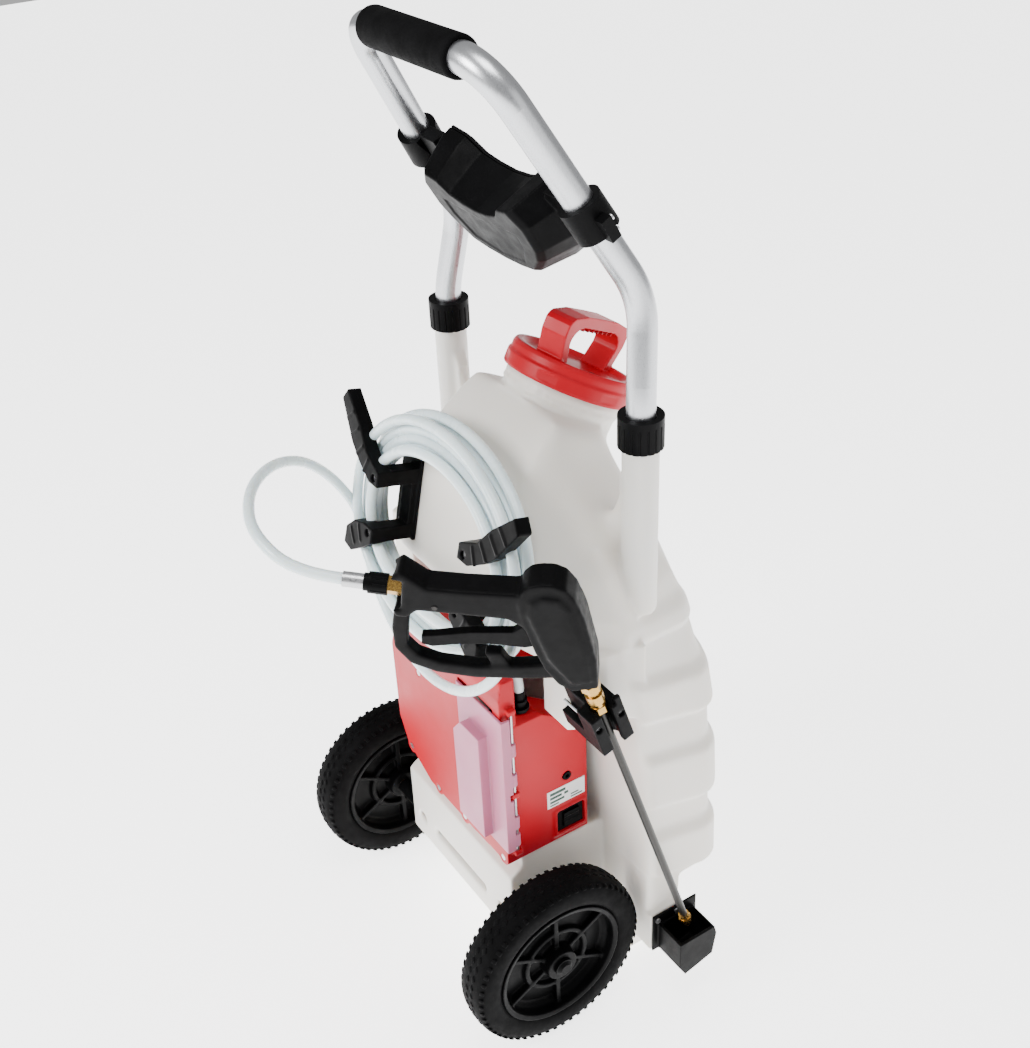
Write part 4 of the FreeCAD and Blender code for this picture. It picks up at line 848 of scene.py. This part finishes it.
# ---- CAD nodes that stay ------------------------------------------------
FINISH = {
    TUBE: ["handle_tube"],
    STEEL: ["axle", "hook_screws", "housing_screws", "clamp_screws", "holder_screws", "door_pin",
            "trigger_pin", "cover_pin", "pump_motor", "hose_sleeve"],
    LANCE: ["lance_tube", "gun_screws"],
    BRASS: ["lance_coupling", "nozzle", "inlet_fitting", "valve_block", "bush_left", "bush_right"],
    BLACK: ["collar_left", "collar_right", "tray_knob", "tray_clamps", "gun_nut", "power_switch", "switch_bezel",
            "charge_socket", "axle_caps", "axle_spacers", "pump_head", "battery_tray", "hose_outlet"],
    HOSE: ["pump_hoses"],
    SEAL: ["cap_gasket", "vent_valve"],
    CASE: ["battery"],
    MESH: ["neck_strainer", "collets"],
}
for material, names in FINISH.items():
    for name in names:
        obj = NODES[name]
        if not obj.material_slots:
            obj.data.materials.append(material)
        for entry in obj.material_slots:
            entry.material = material

# ---- printed label ------------------------------------------------------
def make_label():
    """Plate with plain bars printed on it, in place of its text."""
    points, faces = [], []
    shapes = [box(-136.8, -136.0, 124, 182, 298, 326)]
    for y0, y1, z0, z1 in ((154, 178, 318, 322.5), (160, 178, 311.5, 315.5), (150, 156, 311.5, 315.5),
                           (156, 178, 305, 308.5), (165, 178, 300.5, 302.5), (128, 146, 300.5, 302.5),
                           (134, 146, 305, 307)):
        shapes.append(box(-136.98, -136.7, y0, y1, z0, z1))
    for shape in shapes:
        base = len(points)
        points += list(shape[0])
        faces += [[base + i for i in face] for face in shape[1]]
    obj = raw_object("label_printed", (points, faces))
    put(obj, "cart", LABEL, "label", "label_plate")
    obj.data.materials.append(INK)
    for face in obj.data.polygons:
        face.material_index = 0 if face.index < len(shapes[0][1]) else 1
    return obj


make_label()

# ---- stage, light and camera --------------------------------------------
bpy.ops.mesh.primitive_plane_add(size=14, location=(0, 0, -0.0005))
floor = bpy.context.object
floor.name = "floor"
paint, _, shader = new_material("floor_white")
shader.inputs["Base Color"].default_value = (0.93, 0.93, 0.93, 1)
shader.inputs["Emission Color"].default_value = (1.0, 1.0, 1.0, 1)
shader.inputs["Emission Strength"].default_value = 3.0
shader.inputs["Roughness"].default_value = 0.85
floor.data.materials.append(paint)

world = bpy.data.worlds.new("studio")
bpy.context.scene.world = world
world.use_nodes = True
world.node_tree.nodes["Background"].inputs["Color"].default_value = (1.0, 1.0, 1.0, 1)
world.node_tree.nodes["Background"].inputs["Strength"].default_value = 0.5


def area_light(name, place_m, target, size, power):
    data = bpy.data.lights.new(name, "AREA")
    data.shape = "SQUARE"
    data.size = size
    data.energy = power
    lamp = bpy.data.objects.new(name, data)
    lamp.location = place_m
    lamp.rotation_euler = (Vector(target) - Vector(place_m)).to_track_quat("-Z", "Y").to_euler()
    bpy.context.scene.collection.objects.link(lamp)


area_light("key", (0.4, 2.7, 2.3), (0, 0.2, 0.55), 1.3, 105)
area_light("fill", (-2.6, -1.2, 1.7), (0, 0.1, 0.6), 2.2, 14)
area_light("top", (-0.6, 0.4, 3.2), (0, 0.15, 0.7), 1.2, 40)

lens = bpy.data.cameras.new("camera")
camera = bpy.data.objects.new("camera", lens)
bpy.context.scene.collection.objects.link(camera)
right = Vector((-0.5497, -0.8343, -0.0416))
up = Vector((0.4441, -0.3341, 0.8314))
forward = Vector((0.7075, -0.4386, -0.5542))
view = Matrix((right, up, -forward)).transposed().to_4x4()
view.translation = Vector((-1.1915, 0.8656, 1.5356))
camera.matrix_world = view
lens.lens = 46.6
lens.sensor_width = 36
lens.shift_y = 0.0246
bpy.context.scene.camera = camera

bpy.context.view_layer.update()
